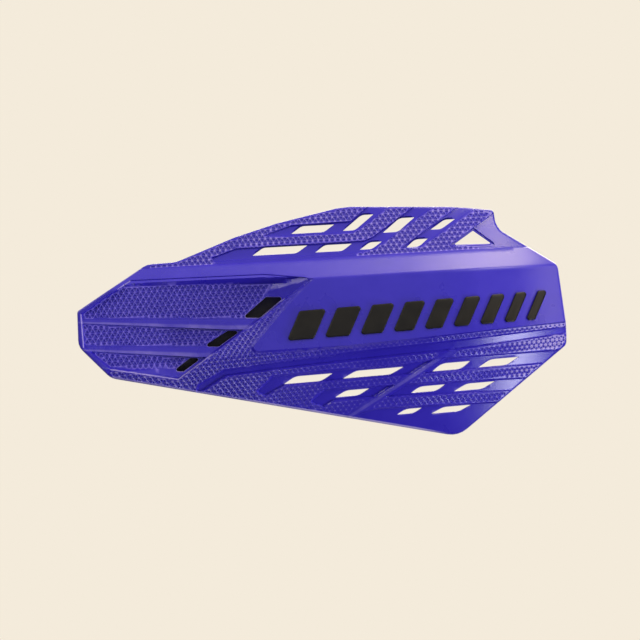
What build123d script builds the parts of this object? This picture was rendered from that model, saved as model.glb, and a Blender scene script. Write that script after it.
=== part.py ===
"""Hand guard for the left grip of a motorcycle: a vented moulded shield on a bar clamp.

Millimetres. The handlebar axis is X with +X outboard, the shield faces -Y and
+Z is up. The origin is the centre of the clamp's bore.
"""
import os
from math import asin, cos, hypot, radians, sin, sqrt, tan

from build123d import *

# Handlebar, sleeve and clamp
BAR_DIAMETER = 22.2
SLEEVE_WALL = 1.5
SLEEVE_OVERHANG = 1.5
SLEEVE_SLIT = 2.5
CLAMP_WIDTH = 20.0
CLAMP_WALL = 5.5
CLAMP_GAP = 2.0
EAR_DEPTH = 9.0
EAR_GRIP = 4.0
EAR_EDGE = 6.0
EAR_INNER_WALL = 2.2
EAR_CHAMFER = 3.0
HUMP_CHAMFER = 4.4

# Clamp screws, M6 with hexagon heads, and their nuts
CLAMP_THREAD = 6.0
CLAMP_HEAD = 10.0
CLAMP_HEAD_HEIGHT = 4.0
CLAMP_NUT = 10.0
CLAMP_NUT_HEIGHT = 5.0
CLAMP_SCREW_SPARE = 1.5

# Shield screws, M5 with hexagon heads, and their moulded-in brass inserts
SHIELD_THREAD = 5.0
SHIELD_HEAD = 8.0
SHIELD_HEAD_HEIGHT = 3.5
SHIELD_SCREW_SPARE = 0.6
INSERT_FLATS = 7.0
INSERT_LENGTH = 7.5

# Clearances on a radius
HOLE_CLEARANCE = 0.25
NUT_CLEARANCE = 0.10
THREAD_CLEARANCE = 0.05
FIT_CLEARANCE = 0.02

# Shield in plan: reach of the ridge ahead of the bar, then the bends towards the tip
RIDGE_REACH = 84.0
CROWN_X = 40.0
MAIN_RADIUS = 900.0
TIP_START_X = 112.0
TIP_RADIUS = 155.0
TIP_TURN = 45.0

# Shield in section: crease heights over the bar and their rise per millimetre outboard
BROW_HEIGHT = 20.3
BROW_RISE = 0.059
RIDGE_HEIGHT = 10.0
RIDGE_RISE = 0.058
CHIN_HEIGHT = -31.9
CHIN_RISE = 0.110
BROW_DROP = 11.5
TOP_DROP = 27.0
CHIN_LEAD = 2.0
BOTTOM_DROP = 33.0
EDGE_MARGIN = 8.0
STATION_COUNT = 15

# Shield wall and relief
WALL = 3.6
PAD_STEP = 0.9
CHIN_BEVEL = 2.4
CHANNEL_DEPTH = 1.0
BEAD_WIDTH = 3.4
BEAD_HEIGHT = 0.7
UPPER_VENT_ROUND = 6.0
LOWER_VENT_ROUND = 9.5

# Recessed panel at the inner end: floor ahead of the bar, walls, ribs and windows
PANEL_REACH = 76.0
PANEL_WALL = 2.8
PANEL_SIDE = 2.4
PANEL_ROUND = 1.0
PANEL_SLOPE = 34.5
RAMP_LIP = 1.5
RIB_HEIGHT = 2.0
RIB_ROOT = 0.5
WINDOW_ROUND = 1.0

# Slanted inlay bars on the smooth field, each narrower than the one before it
INLAY_COUNT = 9
INLAY_FIRST = 15.0
INLAY_SHRINK = 1.2
INLAY_SPACE = 5.6
INLAY_TALL = 16.5
INLAY_LEAN = 7.0
INLAY_START_X = 45.0
INLAY_START_Z = -12.6
INLAY_RISE = 0.085
INLAY_PROUD = 1.2
INLAY_SEAT = 0.7

# Arm from the clamp to the bosses behind the panel
STEM_WIDTH = 14.0
STEM_WEB = 6.0
STEM_FLANGE = 3.4
STEM_TOP = 10.0
STEM_BOTTOM = -9.0
STEM_FLARE = 11.0
FOOT_THICK = 4.0
FOOT_ROUND = 4.0
FOOT_RIB = 3.0
FOOT_RIB_HEIGHT = 3.0
BOSS_FLATS = 11.5
BOSS_HEIGHT = 7.2
BOSS_PLACES = [(-36.0, -1.0), (16.0, -1.0), (-30.0, -28.0)]

# Outline of the shield seen from the front: x, z and rounding of each corner
OUTLINE = [
    (-70.1, -4.7, 2.0),
    (-31.9, 21.2, 10.0),
    (-16.0, 22.4, 16.0),
    (27.5, 40.8, 160.0),
    (75.9, 53.0, 30.0),
    (138.1, 53.0, 120.0),
    (158.8, 51.2, 2.0),
    (159.8, 44.6, 5.0),
    (162.2, 40.2, 8.0),
    (193.4, 21.6, 5.0),
    (199.2, -13.8, 40.0),
    (199.2, -22.9, 4.0),
    (135.0, -72.4, 9.0),
    (-51.5, -39.1, 5.0),
    (-69.4, -24.0, 8.0),
]

# Vents: lower left corner x and z, lean and rise to the upper edge, length
UPPER_VENTS = [
    (26.2, 26.0, 5.8, 4.3, 24.2),
    (60.7, 27.8, 5.1, 4.0, 14.9),
    (85.2, 29.3, 5.4, 4.1, 6.6),
    (110.8, 30.6, 4.7, 4.4, 6.9),
    (47.5, 38.0, 5.6, 4.2, 17.9),
    (75.9, 39.7, 10.1, 8.7, 6.6),
    (97.9, 38.7, 9.1, 8.0, 8.2),
    (124.1, 40.4, 7.6, 5.5, 5.8),
]
LOWER_VENTS = [
    (43.6, -44.5, 6.0, 4.1, 20.4),
    (76.0, -41.4, 7.1, 4.1, 25.9),
    (125.2, -37.5, 4.7, 4.2, 15.7),
    (150.6, -35.3, 6.3, 4.3, 15.4),
    (71.8, -51.8, 5.8, 3.7, 12.5),
    (113.5, -49.4, 4.5, 3.4, 13.8),
    (137.1, -48.5, 6.9, 4.1, 15.4),
    (105.9, -61.3, 4.4, 2.9, 8.8),
    (124.7, -60.8, 6.6, 3.5, 14.9),
]
UPPER_VENT_RISE = 0.055
LOWER_VENT_RISE = 0.085
CORNER_VENT = [(136.8, 32.1), (147.4, 39.8), (157.6, 32.7)]

# Smooth channels between the pads, in the front view; open ends run past the outline
UPPER_CHANNELS = [
    [(3.9, 24.8), (17.1, 29.9), (52.3, 32.0), (87.4, 34.2), (91.9, 36.0), (116.5, 54.2),
     (127.3, 54.2), (93.0, 29.4), (88.0, 28.0), (80.9, 27.0), (4.6, 22.6)],
    [(32.6, 37.0), (47.5, 42.6), (79.8, 44.9), (91.0, 54.2), (102.3, 54.2), (86.0, 40.9),
     (80.9, 38.6), (45.1, 36.6)],
    [(108.1, 30.3), (140.7, 54.2), (151.5, 54.2), (118.3, 30.3)],
    [(134.5, 31.6), (158.8, 49.6), (172.0, 44.0), (182.0, 30.6), (156.0, 31.0)],
]
LOWER_CHANNELS = [
    [(-2.8, -44.6), (9.9, -37.2), (33.6, -33.6), (96.3, -25.4), (137.0, -20.8), (202.0, -12.6),
     (202.0, -16.2), (137.0, -25.6), (96.3, -29.9), (51.7, -34.9), (11.6, -40.2), (-0.6, -48.2), (-6.0, -50.0)],
    [(28.1, -49.0), (37.4, -40.2), (71.0, -37.0), (108.9, -33.9), (130.0, -30.5), (202.0, -25.4),
     (202.0, -31.8), (124.3, -38.3), (64.9, -43.2), (44.0, -45.4), (33.6, -51.2)],
    [(57.2, -54.5), (65.5, -48.0), (76.5, -46.9), (113.9, -44.6), (181.0, -41.0),
     (181.0, -47.4), (122.7, -50.5), (85.8, -52.2), (71.0, -53.6), (65.5, -57.2)],
    [(78.0, -62.6), (95.7, -58.0), (118.3, -56.9), (165.0, -54.4), (150.0, -80.0), (90.0, -80.0)],
]
BEAD = [(137.5, -25.0), (79.5, -62.5)]

# Panel in the front view: mouth of the tray, foot and top of its ramp, textured band, ribs and windows
TRAY = [(-67.6, -6.8), (-40.6, 11.9), (43.5, 16.2), (59.4, 13.0), (-14.5, -42.0), (-51.5, -36.6), (-66.6, -24.4)]
RAMP_FOOT = [(38.4, 7.4), (34.6, 3.8)]
RAMP_TOP = (36.6, 10.4)
BAND = [(60.5, 13.6), (25.5, -24.6), (25.5, -27.4), (23.0, -36.0), (-20.0, -48.0), (-48.0, -43.0),
        (-53.0, -36.0), (-20.0, -36.0)]
RIBS = [
    [(-70.0, -8.9), (-70.0, -11.4), (12.0, -14.8), (24.0, -14.8), (32.0, -8.9)],
    [(-70.0, -23.9), (-70.0, -26.4), (-5.0, -29.9), (3.5, -29.9), (11.0, -24.2)],
]
WINDOWS = [
    [(20.6, -8.2), (33.6, 3.2), (43.8, 3.2), (30.0, -8.2)],
    [(-1.1, -24.0), (12.7, -15.2), (19.8, -15.2), (7.6, -24.0)],
    [(-17.4, -37.6), (-8.0, -30.2), (-1.7, -30.2), (-11.6, -37.6)],
]
FOOT = [(-46.0, 8.0), (56.0, 8.0), (-4.0, -39.5), (-36.0, -37.0), (-46.0, -27.0)]

# Places that follow from the sizes above
sleeve_radius = BAR_DIAMETER / 2 + SLEEVE_WALL
clamp_radius = sleeve_radius + CLAMP_WALL
ear_z = sleeve_radius + EAR_INNER_WALL + CLAMP_THREAD / 2 + HOLE_CLEARANCE
ear_top = ear_z + EAR_EDGE
ear_face = CLAMP_GAP / 2 + EAR_DEPTH
hump_z = ear_z - CLAMP_HEAD / sqrt(3) - HOLE_CLEARANCE
nut_seat = CLAMP_GAP / 2 + EAR_GRIP
boss_base = -PANEL_REACH + PANEL_WALL
foot_front = boss_base + BOSS_HEIGHT
foot_back = foot_front + FOOT_THICK
top_height = max(corner[1] for corner in OUTLINE) + EDGE_MARGIN
bottom_height = min(corner[1] for corner in OUTLINE) - EDGE_MARGIN
first_x = min(corner[0] for corner in OUTLINE) - EDGE_MARGIN
last_x = max(corner[0] for corner in OUTLINE) + EDGE_MARGIN
front_limit = RIDGE_REACH + CHIN_LEAD + 4 * EDGE_MARGIN
on_base = (Align.CENTER, Align.CENTER, Align.MIN)


def forward(x):
    """Reach of the ridge ahead of the bar: a flat bend, a tighter one, then straight on."""
    flat = min(x, TIP_START_X) - CROWN_X
    reach = RIDGE_REACH - MAIN_RADIUS + sqrt(MAIN_RADIUS ** 2 - flat ** 2)
    if x <= TIP_START_X:
        return reach
    turn = asin(flat / MAIN_RADIUS)
    across = x - TIP_START_X + TIP_RADIUS * sin(turn)
    bent = min(across, TIP_RADIUS * sin(radians(TIP_TURN)))
    reach += sqrt(TIP_RADIUS ** 2 - bent ** 2) - TIP_RADIUS * cos(turn)
    return reach - (across - bent) * tan(radians(TIP_TURN))


def stretch(x):
    """Growth of a wall measured along the section, where the plan bends away."""
    return hypot(1.0, forward(x + 0.5) - forward(x - 0.5))


def spine_line(x):
    """Section of the plain front face at x, as (reach, height) from the top edge down."""
    reach = forward(x)
    return [
        (reach - TOP_DROP, top_height),
        (reach - BROW_DROP, BROW_HEIGHT + BROW_RISE * x),
        (reach, RIDGE_HEIGHT + RIDGE_RISE * x),
        (reach + CHIN_LEAD, CHIN_HEIGHT + CHIN_RISE * x),
        (reach - BOTTOM_DROP, bottom_height),
    ]


def set_back(line, depth):
    """The section line moved towards the rider by a depth square to its faces."""
    normals = []
    for (r0, z0), (r1, z1) in zip(line, line[1:]):
        length = hypot(r1 - r0, z1 - z0)
        normals.append(((z1 - z0) / length, (r0 - r1) / length))
    moved = []
    for i, (r, z) in enumerate(line):
        a = normals[max(i - 1, 0)]
        b = normals[min(i, len(normals) - 1)]
        share = depth / (1.0 + a[0] * b[0] + a[1] * b[1])
        moved.append((r + share * (a[0] + b[0]), z + share * (a[1] + b[1])))
    return moved


def toward(start, end, distance):
    """The point that lies a distance from start on the way to end."""
    part = distance / hypot(end[0] - start[0], end[1] - start[1])
    return (start[0] + part * (end[0] - start[0]), start[1] + part * (end[1] - start[1]))


def skin_line(x):
    """Section of the moulded front face: the spine stands a step above the pads."""
    plain = spine_line(x)
    pads = set_back(plain, PAD_STEP * stretch(x))
    top = [pads[0], toward(pads[1], pads[0], PAD_STEP)]
    bottom = [toward(pads[3], pads[4], CHIN_BEVEL), pads[4]]
    return top + plain[1:4] + bottom


def depth_line(depth):
    """Section line, as a function of x, at a depth under the plain front face."""
    return lambda x: set_back(spine_line(x), depth * stretch(x))


def loft_between(front, back):
    """Solid between two section lines carried along the guard."""
    wires = []
    for i in range(STATION_COUNT):
        x = first_x + (last_x - first_x) * i / (STATION_COUNT - 1)
        ring = front(x) + back(x)[::-1]
        wires.append(Wire.make_polygon([(x, -reach, z) for reach, z in ring]))
    return Solid.make_loft(wires)


def layer(near, far):
    """Solid between two depths under the plain front face, negative depths standing proud."""
    return loft_between(depth_line(near), depth_line(far))


def prism(points, rounding=0.0, near=0.0, far=front_limit):
    """Shape drawn in the front view, carried from one reach ahead of the bar to another."""
    path = FilletPolyline(*[(p[0], p[1]) for p in points], radius=rounding, close=True)
    return Pos(0, -near, 0) * extrude(Plane.XZ * make_face(path), amount=far - near)


def slot(x, z, lean, rise, length, slope, rounding):
    """Slanted vent with its two blunt corners rounded and its two sharp ones left sharp."""
    low = (x + length, z + slope * length)
    corners = [(x, z), low, (low[0] + lean, low[1] + rise), (x + lean, z + rise)]
    return prism(corners, [0.0, rounding, 0.0, rounding])


def inlay_shapes(margin):
    """Outlines of the slanted inlay bars, drawn in by a margin and carried through the shield."""
    shapes = []
    left = INLAY_START_X
    for i in range(INLAY_COUNT):
        right = left + INLAY_FIRST - INLAY_SHRINK * i
        low = INLAY_START_Z + INLAY_RISE * (left - INLAY_START_X) - INLAY_TALL / 2
        high = low + INLAY_RISE * (right - left)
        corners = [
            (left + margin, low + margin),
            (right - margin, high + margin),
            (right - margin + INLAY_LEAN, high - margin + INLAY_TALL),
            (left + margin + INLAY_LEAN, low - margin + INLAY_TALL),
        ]
        shapes.append(prism(corners))
        left = right + INLAY_SPACE
    return shapes


def make_inlay_bars():
    """The inlay bars, seated in the shield's pockets and standing proud of its face."""
    skin = layer(-INLAY_PROUD, INLAY_SEAT - FIT_CLEARANCE)
    return [shape & skin for shape in inlay_shapes(FIT_CLEARANCE)]


def make_bead():
    """Raised bead that runs down the lower wing on a diagonal."""
    (x0, z0), (x1, z1) = BEAD
    half = BEAD_WIDTH / 2 / hypot(x1 - x0, z1 - z0)
    ax = (z1 - z0) * half
    az = (x0 - x1) * half
    corners = [(x0 + ax, z0 + az), (x1 + ax, z1 + az), (x1 - ax, z1 - az), (x0 - ax, z0 - az)]
    return prism(corners) & layer(PAD_STEP - BEAD_HEIGHT, PAD_STEP + CHANNEL_DEPTH + BEAD_HEIGHT)


def plane_through(a, b, c):
    """Plane through three places, facing ahead."""
    plane = Plane(origin=a, x_dir=b - a, z_dir=(b - a).cross(c - a))
    return plane if plane.z_dir.Y < 0 else -plane


def make_tray():
    """Cut of the panel: a flat floor, a wall sloping in from the ridge and a two-faced ramp at its tip."""
    ridge_in, ridge_out, tip = [Vector(x, -forward(x), z) for x, z in TRAY[1:4]]
    fall = Vector(0, cos(radians(PANEL_SLOPE)), -sin(radians(PANEL_SLOPE)))
    lip, foot, top = [Vector(x, -PANEL_REACH, z) for x, z in RAMP_FOOT + [RAMP_TOP]]
    lip = lip - Vector(0, RAMP_LIP, 0)
    cut = prism(TRAY, PANEL_ROUND, near=PANEL_REACH)
    cut = split(cut, bisect_by=plane_through(ridge_in, ridge_out, ridge_in + fall), keep=Keep.TOP)
    under = split(cut, bisect_by=plane_through(lip, foot, tip), keep=Keep.TOP)
    return under + split(cut, bisect_by=plane_through(lip, top, tip), keep=Keep.TOP)


def make_backing(edge):
    """Floor and side walls of the tray, standing behind the shield's own wall."""
    mouth = make_face(FilletPolyline(*TRAY, radius=PANEL_ROUND, close=True))
    grown = Plane.XZ * offset(mouth, amount=PANEL_SIDE)
    block = Pos(0, boss_base, 0) * extrude(grown, amount=front_limit + boss_base)
    return block & edge & layer(WALL / 2, RIDGE_REACH - PANEL_REACH + EDGE_MARGIN)


def make_rib(points):
    """Wedge-shaped rib on the floor of the panel, rising from its upper edge to its lower one."""
    start, foot, end = [Vector(x, -PANEL_REACH, z) for x, z in (points[0], points[2], points[-1])]
    slope = plane_through(start, end, foot - Vector(0, RIB_HEIGHT, 0))
    block = prism(points, near=PANEL_REACH - RIB_ROOT, far=PANEL_REACH + 2 * RIB_HEIGHT)
    return split(block, bisect_by=slope, keep=Keep.BOTTOM)


def make_openings():
    """Every opening that goes right through the shield."""
    cuts = [slot(*vent, UPPER_VENT_RISE, UPPER_VENT_ROUND) for vent in UPPER_VENTS]
    cuts += [slot(*vent, LOWER_VENT_RISE, LOWER_VENT_ROUND) for vent in LOWER_VENTS]
    cuts.append(prism(CORNER_VENT))
    cuts += [prism(window, WINDOW_ROUND) for window in WINDOWS]
    return cuts


def facing_front(solid, x, y, z):
    """Turn a solid drawn along +Z so that it points ahead, and put its base at a place."""
    return Pos(x, y, z) * Rot(90, 0, 0) * solid


def rod(diameter, length):
    """Round bar on its base."""
    return Cylinder(diameter / 2, length, align=on_base)


def hexagon(flats, length):
    """Hexagonal bar on its base, given across its flats."""
    return extrude(RegularPolygon(flats / sqrt(3), 6), amount=length)


def make_shield():
    """The moulded shield with its pads, channels, vents, panel and bosses."""
    edge = prism(OUTLINE, [corner[2] for corner in OUTLINE])
    body = loft_between(skin_line, depth_line(WALL)) & edge
    body = body - (prism(BAND) & layer(-EDGE_MARGIN, PAD_STEP))
    channel_skin = layer(-EDGE_MARGIN, PAD_STEP + CHANNEL_DEPTH)
    for shape in UPPER_CHANNELS + LOWER_CHANNELS:
        body = body - (prism(shape) & channel_skin)
    body = body + (make_bead() & edge)
    body = body + make_backing(edge)
    for x, z in BOSS_PLACES:
        body = body + facing_front(hexagon(BOSS_FLATS, BOSS_HEIGHT + PANEL_WALL / 2), x, foot_front, z)
    body = body - make_tray()
    for rib in RIBS:
        body = body + (make_rib(rib) & edge)
    body = body - make_openings()
    pocket_skin = layer(-EDGE_MARGIN, INLAY_SEAT)
    body = body - [shape & pocket_skin for shape in inlay_shapes(0.0)]
    for x, z in BOSS_PLACES:
        hole = hexagon(INSERT_FLATS + 2 * FIT_CLEARANCE, INSERT_LENGTH)
        body = body - facing_front(hole, x, foot_front, z)
    return body


def make_clamp_half(side):
    """Half of the bar clamp: two ears and a hump over the bore; side is -1 ahead of the bar, +1 behind."""
    outline = [(CLAMP_GAP / 2, ear_top), (ear_face, ear_top), (ear_face, hump_z), (clamp_radius, hump_z - HUMP_CHAMFER)]
    outline += [(y, -z) for y, z in reversed(outline)]
    face = make_face(FilletPolyline(*[(side * y, z) for y, z in outline], radius=0.0, close=True))
    half = extrude(Plane.YZ * face, amount=CLAMP_WIDTH / 2, both=True)
    half = chamfer(half.edges().filter_by(Axis.Y), EAR_CHAMFER)
    return half - Rot(0, 90, 0) * Cylinder(sleeve_radius, CLAMP_WIDTH)


def make_cap():
    """Rear half of the clamp, drilled for its screws."""
    cap = make_clamp_half(1)
    for z in (ear_z, -ear_z):
        cap = cap - facing_front(rod(CLAMP_THREAD + 2 * HOLE_CLEARANCE, 2 * ear_face), 0, ear_face, z)
    return cap


def make_stem():
    """Web and flanges that carry the shield ahead of the bar."""
    root = -ear_face
    end = (foot_front + foot_back) / 2
    knee = (root + end) / 2 - STEM_FLARE
    side = [(root, STEM_TOP), (root, STEM_BOTTOM), (knee, STEM_BOTTOM / 2), (end, STEM_BOTTOM - STEM_FLARE),
            (end, STEM_TOP - STEM_FLANGE), (knee, STEM_TOP)]
    face = make_face(FilletPolyline(*side, radius=0.0, close=True))
    stem = extrude(Plane.YZ * face, amount=STEM_WIDTH / 2, both=True)
    hollow = Plane.YZ * offset(face, amount=-STEM_FLANGE)
    web = (STEM_WIDTH - STEM_WEB) / 2
    for start in (STEM_WEB / 2, -STEM_WIDTH / 2):
        stem = stem - Pos(start, 0, 0) * extrude(hollow, amount=web)
    return stem


def make_arm():
    """Arm with the front clamp half, the stem and the foot plate, in one moulding."""
    foot = prism(FOOT, FOOT_ROUND, near=-foot_back, far=-foot_front)
    ribs = offset(make_face(FilletPolyline(*FOOT, radius=FOOT_ROUND, close=True)), amount=-FOOT_RIB)
    rim = prism(FOOT, FOOT_ROUND, near=-foot_back - FOOT_RIB_HEIGHT, far=-foot_back)
    rim = rim - Pos(0, foot_back, 0) * extrude(Plane.XZ * ribs, amount=-FOOT_RIB_HEIGHT)
    arm = make_clamp_half(-1) + make_stem() + foot + rim
    arm = arm - Rot(0, 90, 0) * Cylinder(sleeve_radius, CLAMP_WIDTH)
    for z in (ear_z, -ear_z):
        arm = arm - facing_front(rod(CLAMP_THREAD + 2 * HOLE_CLEARANCE, ear_face), 0, 0, z)
        trap = hexagon(CLAMP_NUT + 2 * NUT_CLEARANCE, clamp_radius)
        arm = arm - facing_front(trap, 0, -nut_seat, z)
    for x, z in BOSS_PLACES:
        arm = arm - facing_front(rod(SHIELD_THREAD + 2 * HOLE_CLEARANCE, 2 * FOOT_THICK), x, foot_back, z)
    return arm


def make_sleeve():
    """Split rubber sleeve between the clamp and the bar, longer than the clamp at both ends."""
    length = CLAMP_WIDTH + 2 * SLEEVE_OVERHANG
    sleeve = Rot(0, 90, 0) * (Cylinder(sleeve_radius, length) - Cylinder(BAR_DIAMETER / 2, length))
    return sleeve - Pos(0, 0, -sleeve_radius) * Box(length, SLEEVE_SLIT, sleeve_radius)


def make_screw(thread, flats, height, length):
    """Hexagon screw with its shank along +Z and the underside of its head at zero."""
    return rod(thread - 2 * THREAD_CLEARANCE, length) + Pos(0, 0, -height) * hexagon(flats, height)


def make_nut():
    """Hexagon nut on its base."""
    return hexagon(CLAMP_NUT, CLAMP_NUT_HEIGHT) - rod(CLAMP_THREAD, CLAMP_NUT_HEIGHT)


def make_insert():
    """Hexagonal brass insert on its base."""
    return hexagon(INSERT_FLATS, INSERT_LENGTH) - rod(SHIELD_THREAD, INSERT_LENGTH)


def clamp_fixings():
    """Screw and nut of each clamp ear, by node name."""
    length = ear_face + nut_seat + CLAMP_NUT_HEIGHT + CLAMP_SCREW_SPARE
    screw = make_screw(CLAMP_THREAD, CLAMP_HEAD, CLAMP_HEAD_HEIGHT, length)
    nodes = {}
    for name, z in (("upper", ear_z), ("lower", -ear_z)):
        nodes["clamp_screw_" + name] = facing_front(screw, 0, ear_face, z)
        nodes["clamp_nut_" + name] = facing_front(make_nut(), 0, -nut_seat, z)
    return nodes


def shield_fixings():
    """Screw and insert of each boss, by node name."""
    length = FOOT_THICK + INSERT_LENGTH - SHIELD_SCREW_SPARE
    screw = make_screw(SHIELD_THREAD, SHIELD_HEAD, SHIELD_HEAD_HEIGHT, length)
    nodes = {}
    for i, (x, z) in enumerate(BOSS_PLACES, start=1):
        nodes[f"shield_screw_{i}"] = facing_front(screw, x, foot_back, z)
        nodes[f"shield_insert_{i}"] = facing_front(make_insert(), x, foot_front, z)
    return nodes


def make_nodes():
    """Every piece of the guard, by node name."""
    nodes = {"shield": make_shield(), "arm": make_arm(), "clamp_cap": make_cap(), "bar_sleeve": make_sleeve()}
    for i, bar in enumerate(make_inlay_bars(), start=1):
        nodes[f"inlay_bar_{i}"] = bar
    nodes.update(clamp_fixings())
    nodes.update(shield_fixings())
    return nodes


if __name__ == "__main__":
    os.makedirs("parts", exist_ok=True)
    for node_name, solid in make_nodes().items():
        export_step(solid, f"parts/{node_name}.step")
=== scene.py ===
"""Blender scene of a motorcycle hand guard: a vented moulded shield on a bar clamp.

Sizes are in millimetres in the frame of the part: X runs along the bar with +X
outboard, the shield faces -Y and Z is up. Meshes are written in metres.
"""
from __future__ import annotations

import logging
from dataclasses import dataclass
from enum import Enum, IntEnum
from math import atan2, ceil, pi, radians, sin, sqrt, tan
from typing import Any, Sequence, Union

import bmesh
import bpy
import numpy as np
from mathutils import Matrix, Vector
from mathutils.geometry import delaunay_2d_cdt


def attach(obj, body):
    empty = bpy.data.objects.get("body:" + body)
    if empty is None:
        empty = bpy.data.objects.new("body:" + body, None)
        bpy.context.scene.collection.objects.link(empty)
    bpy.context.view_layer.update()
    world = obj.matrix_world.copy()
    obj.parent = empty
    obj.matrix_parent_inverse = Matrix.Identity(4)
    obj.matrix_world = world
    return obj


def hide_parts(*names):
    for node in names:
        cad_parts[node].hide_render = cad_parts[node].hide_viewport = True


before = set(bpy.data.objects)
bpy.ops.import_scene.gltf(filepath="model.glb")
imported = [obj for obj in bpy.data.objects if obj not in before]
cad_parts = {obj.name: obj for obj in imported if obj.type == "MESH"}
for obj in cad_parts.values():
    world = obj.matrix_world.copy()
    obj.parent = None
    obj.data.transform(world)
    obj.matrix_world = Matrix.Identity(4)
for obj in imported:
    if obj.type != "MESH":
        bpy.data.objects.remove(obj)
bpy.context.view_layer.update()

MM = 0.001
BODY = "root"

# Display curve of a colour: a straight line up to its knee, and a power above it
CURVE_KNEE = 0.04045
CURVE_SLOPE = 12.92
CURVE_LIFT = 0.055
CURVE_POWER = 2.4

# Slack within which a point counts as on a border, and lengths that guard a division
CLOSE = 1e-3
SHORT = 1e-9
TINY = 1e-12

# Least divisor at a mitred corner, and how many points are measured against an outline at once
MITRE_LEAST = 0.35
BATCH = 4000

# Gap within which the triangulation merges points
MERGE_GAP = 1e-4

# Height of an even triangle whose sides are 1
EVEN_HEIGHT = sqrt(0.75)

# Sockets of a Mix node that mixes colours
MIX_SHARE, MIX_FIRST, MIX_SECOND, MIX_RESULT = 0, 6, 7, 2

Array = np.ndarray
Corners = Sequence[Sequence[float]]
Colour = tuple[float, float, float]
Span = tuple[float, float]

log = logging.getLogger("hand_guard")


def linear(red: int, green: int, blue: int) -> Colour:
    """Linear colour of an 8-bit display colour.

    Args:
        red: Red, from 0 to 255.
        green: Green, likewise.
        blue: Blue, likewise.

    Returns:
        Linear red, green and blue, from 0 to 1.
    """
    shares = np.array([red, green, blue]) / 255.0
    raised = ((shares + CURVE_LIFT) / (1 + CURVE_LIFT)) ** CURVE_POWER
    values = np.where(shares <= CURVE_KNEE, shares / CURVE_SLOPE, raised)
    return tuple(float(value) for value in values)


def ease(values: Array, start: float, end: float) -> Array:
    """Straight ramp from 0 at start to 1 at end, held at both ends."""
    return np.clip((values - start) / (end - start), 0.0, 1.0)


def read_off(table: Corners, x: Array) -> Array:
    """Value at x of a table of places and values, straight between its rows and held past its ends."""
    return np.interp(x, *np.array(table).T)


# Outlines in the front view


def widdershins(points: Array) -> Array:
    """The outline with its points in anticlockwise order.

    Args:
        points: Closed outline, in either order.

    Returns:
        The same points, turned round where their area comes out negative.
    """
    x, z = points.T
    area = np.sum(x * np.roll(z, -1) - np.roll(x, -1) * z)
    return points if area > 0 else points[::-1]


def rounded(corners: Corners, rounding: Union[float, Sequence[float]], turn: float = 0.28) -> Array:
    """Closed outline with an arc at each corner.

    An arc of radius r meets both sides at r / tan(half the corner's angle) from
    the corner, round a centre r / sin(half the angle) away on the bisector.

    Args:
        corners: x and z of each corner, in order.
        rounding: Radius at each corner, or one for all of them.
        turn: Largest angle between two points of an arc.

    Returns:
        Points of the outline, anticlockwise.
    """
    places = np.array([corner[:2] for corner in corners], float)
    radii = np.broadcast_to(np.asarray(rounding, float), len(places))
    rows = []
    for place, before, after, radius in zip(places, np.roll(places, 1, 0), np.roll(places, -1, 0), radii):
        if radius <= 0:
            rows.append(place[None])
            continue
        back = (before - place) / np.linalg.norm(before - place)
        ahead = (after - place) / np.linalg.norm(after - place)
        half = np.arccos(np.clip(back @ ahead, -1, 1)) / 2
        middle = (back + ahead) / np.linalg.norm(back + ahead)
        centre = place + middle * radius / sin(half)
        first = place + back * radius / tan(half) - centre
        last = place + ahead * radius / tan(half) - centre
        start = atan2(first[1], first[0])
        sweep = (atan2(last[1], last[0]) - start + pi) % (2 * pi) - pi
        angles = start + sweep * np.linspace(0, 1, max(2, ceil(abs(sweep) / turn) + 1))
        rows.append(centre + radius * np.stack([np.cos(angles), np.sin(angles)], 1))
    return widdershins(np.vstack(rows))


def beside(points: Array, distance: float) -> Array:
    """Closed outline moved outwards by a distance, mitred at its corners.

    A corner moves along the sum of the two normals there, by the distance over
    1 plus their product.

    Args:
        points: Outline, anticlockwise.
        distance: How far out it moves; inwards where negative.

    Returns:
        One point for each point of the outline.
    """
    side = np.roll(points, -1, 0) - points
    length = np.maximum(np.linalg.norm(side, axis=1), SHORT)
    normal = np.stack([side[:, 1], -side[:, 0]], 1) / length[:, None]
    before = np.roll(normal, 1, 0)
    share = distance / np.maximum(1 + (normal * before).sum(1), MITRE_LEAST)
    return points + share[:, None] * (normal + before)


def divide(points: Array, step: float, closed: bool = True) -> Array:
    """Line with points added so that no run is longer than a step.

    Args:
        points: Points of the line.
        step: Longest run that is left whole.
        closed: Whether the last point runs back to the first.

    Returns:
        The old points with even ones between them.
    """
    starts = points if closed else points[:-1]
    runs = np.roll(points, -1, 0)[: len(starts)] - starts
    count = np.maximum(np.ceil(np.linalg.norm(runs, axis=1) / step), 1).astype(int)
    which = np.repeat(np.arange(len(starts)), count)
    share = (np.arange(count.sum()) - np.repeat(np.cumsum(count) - count, count)) / count[which]
    rows = starts[which] + share[:, None] * runs[which]
    return rows if closed else np.vstack([rows, points[-1:]])


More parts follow.
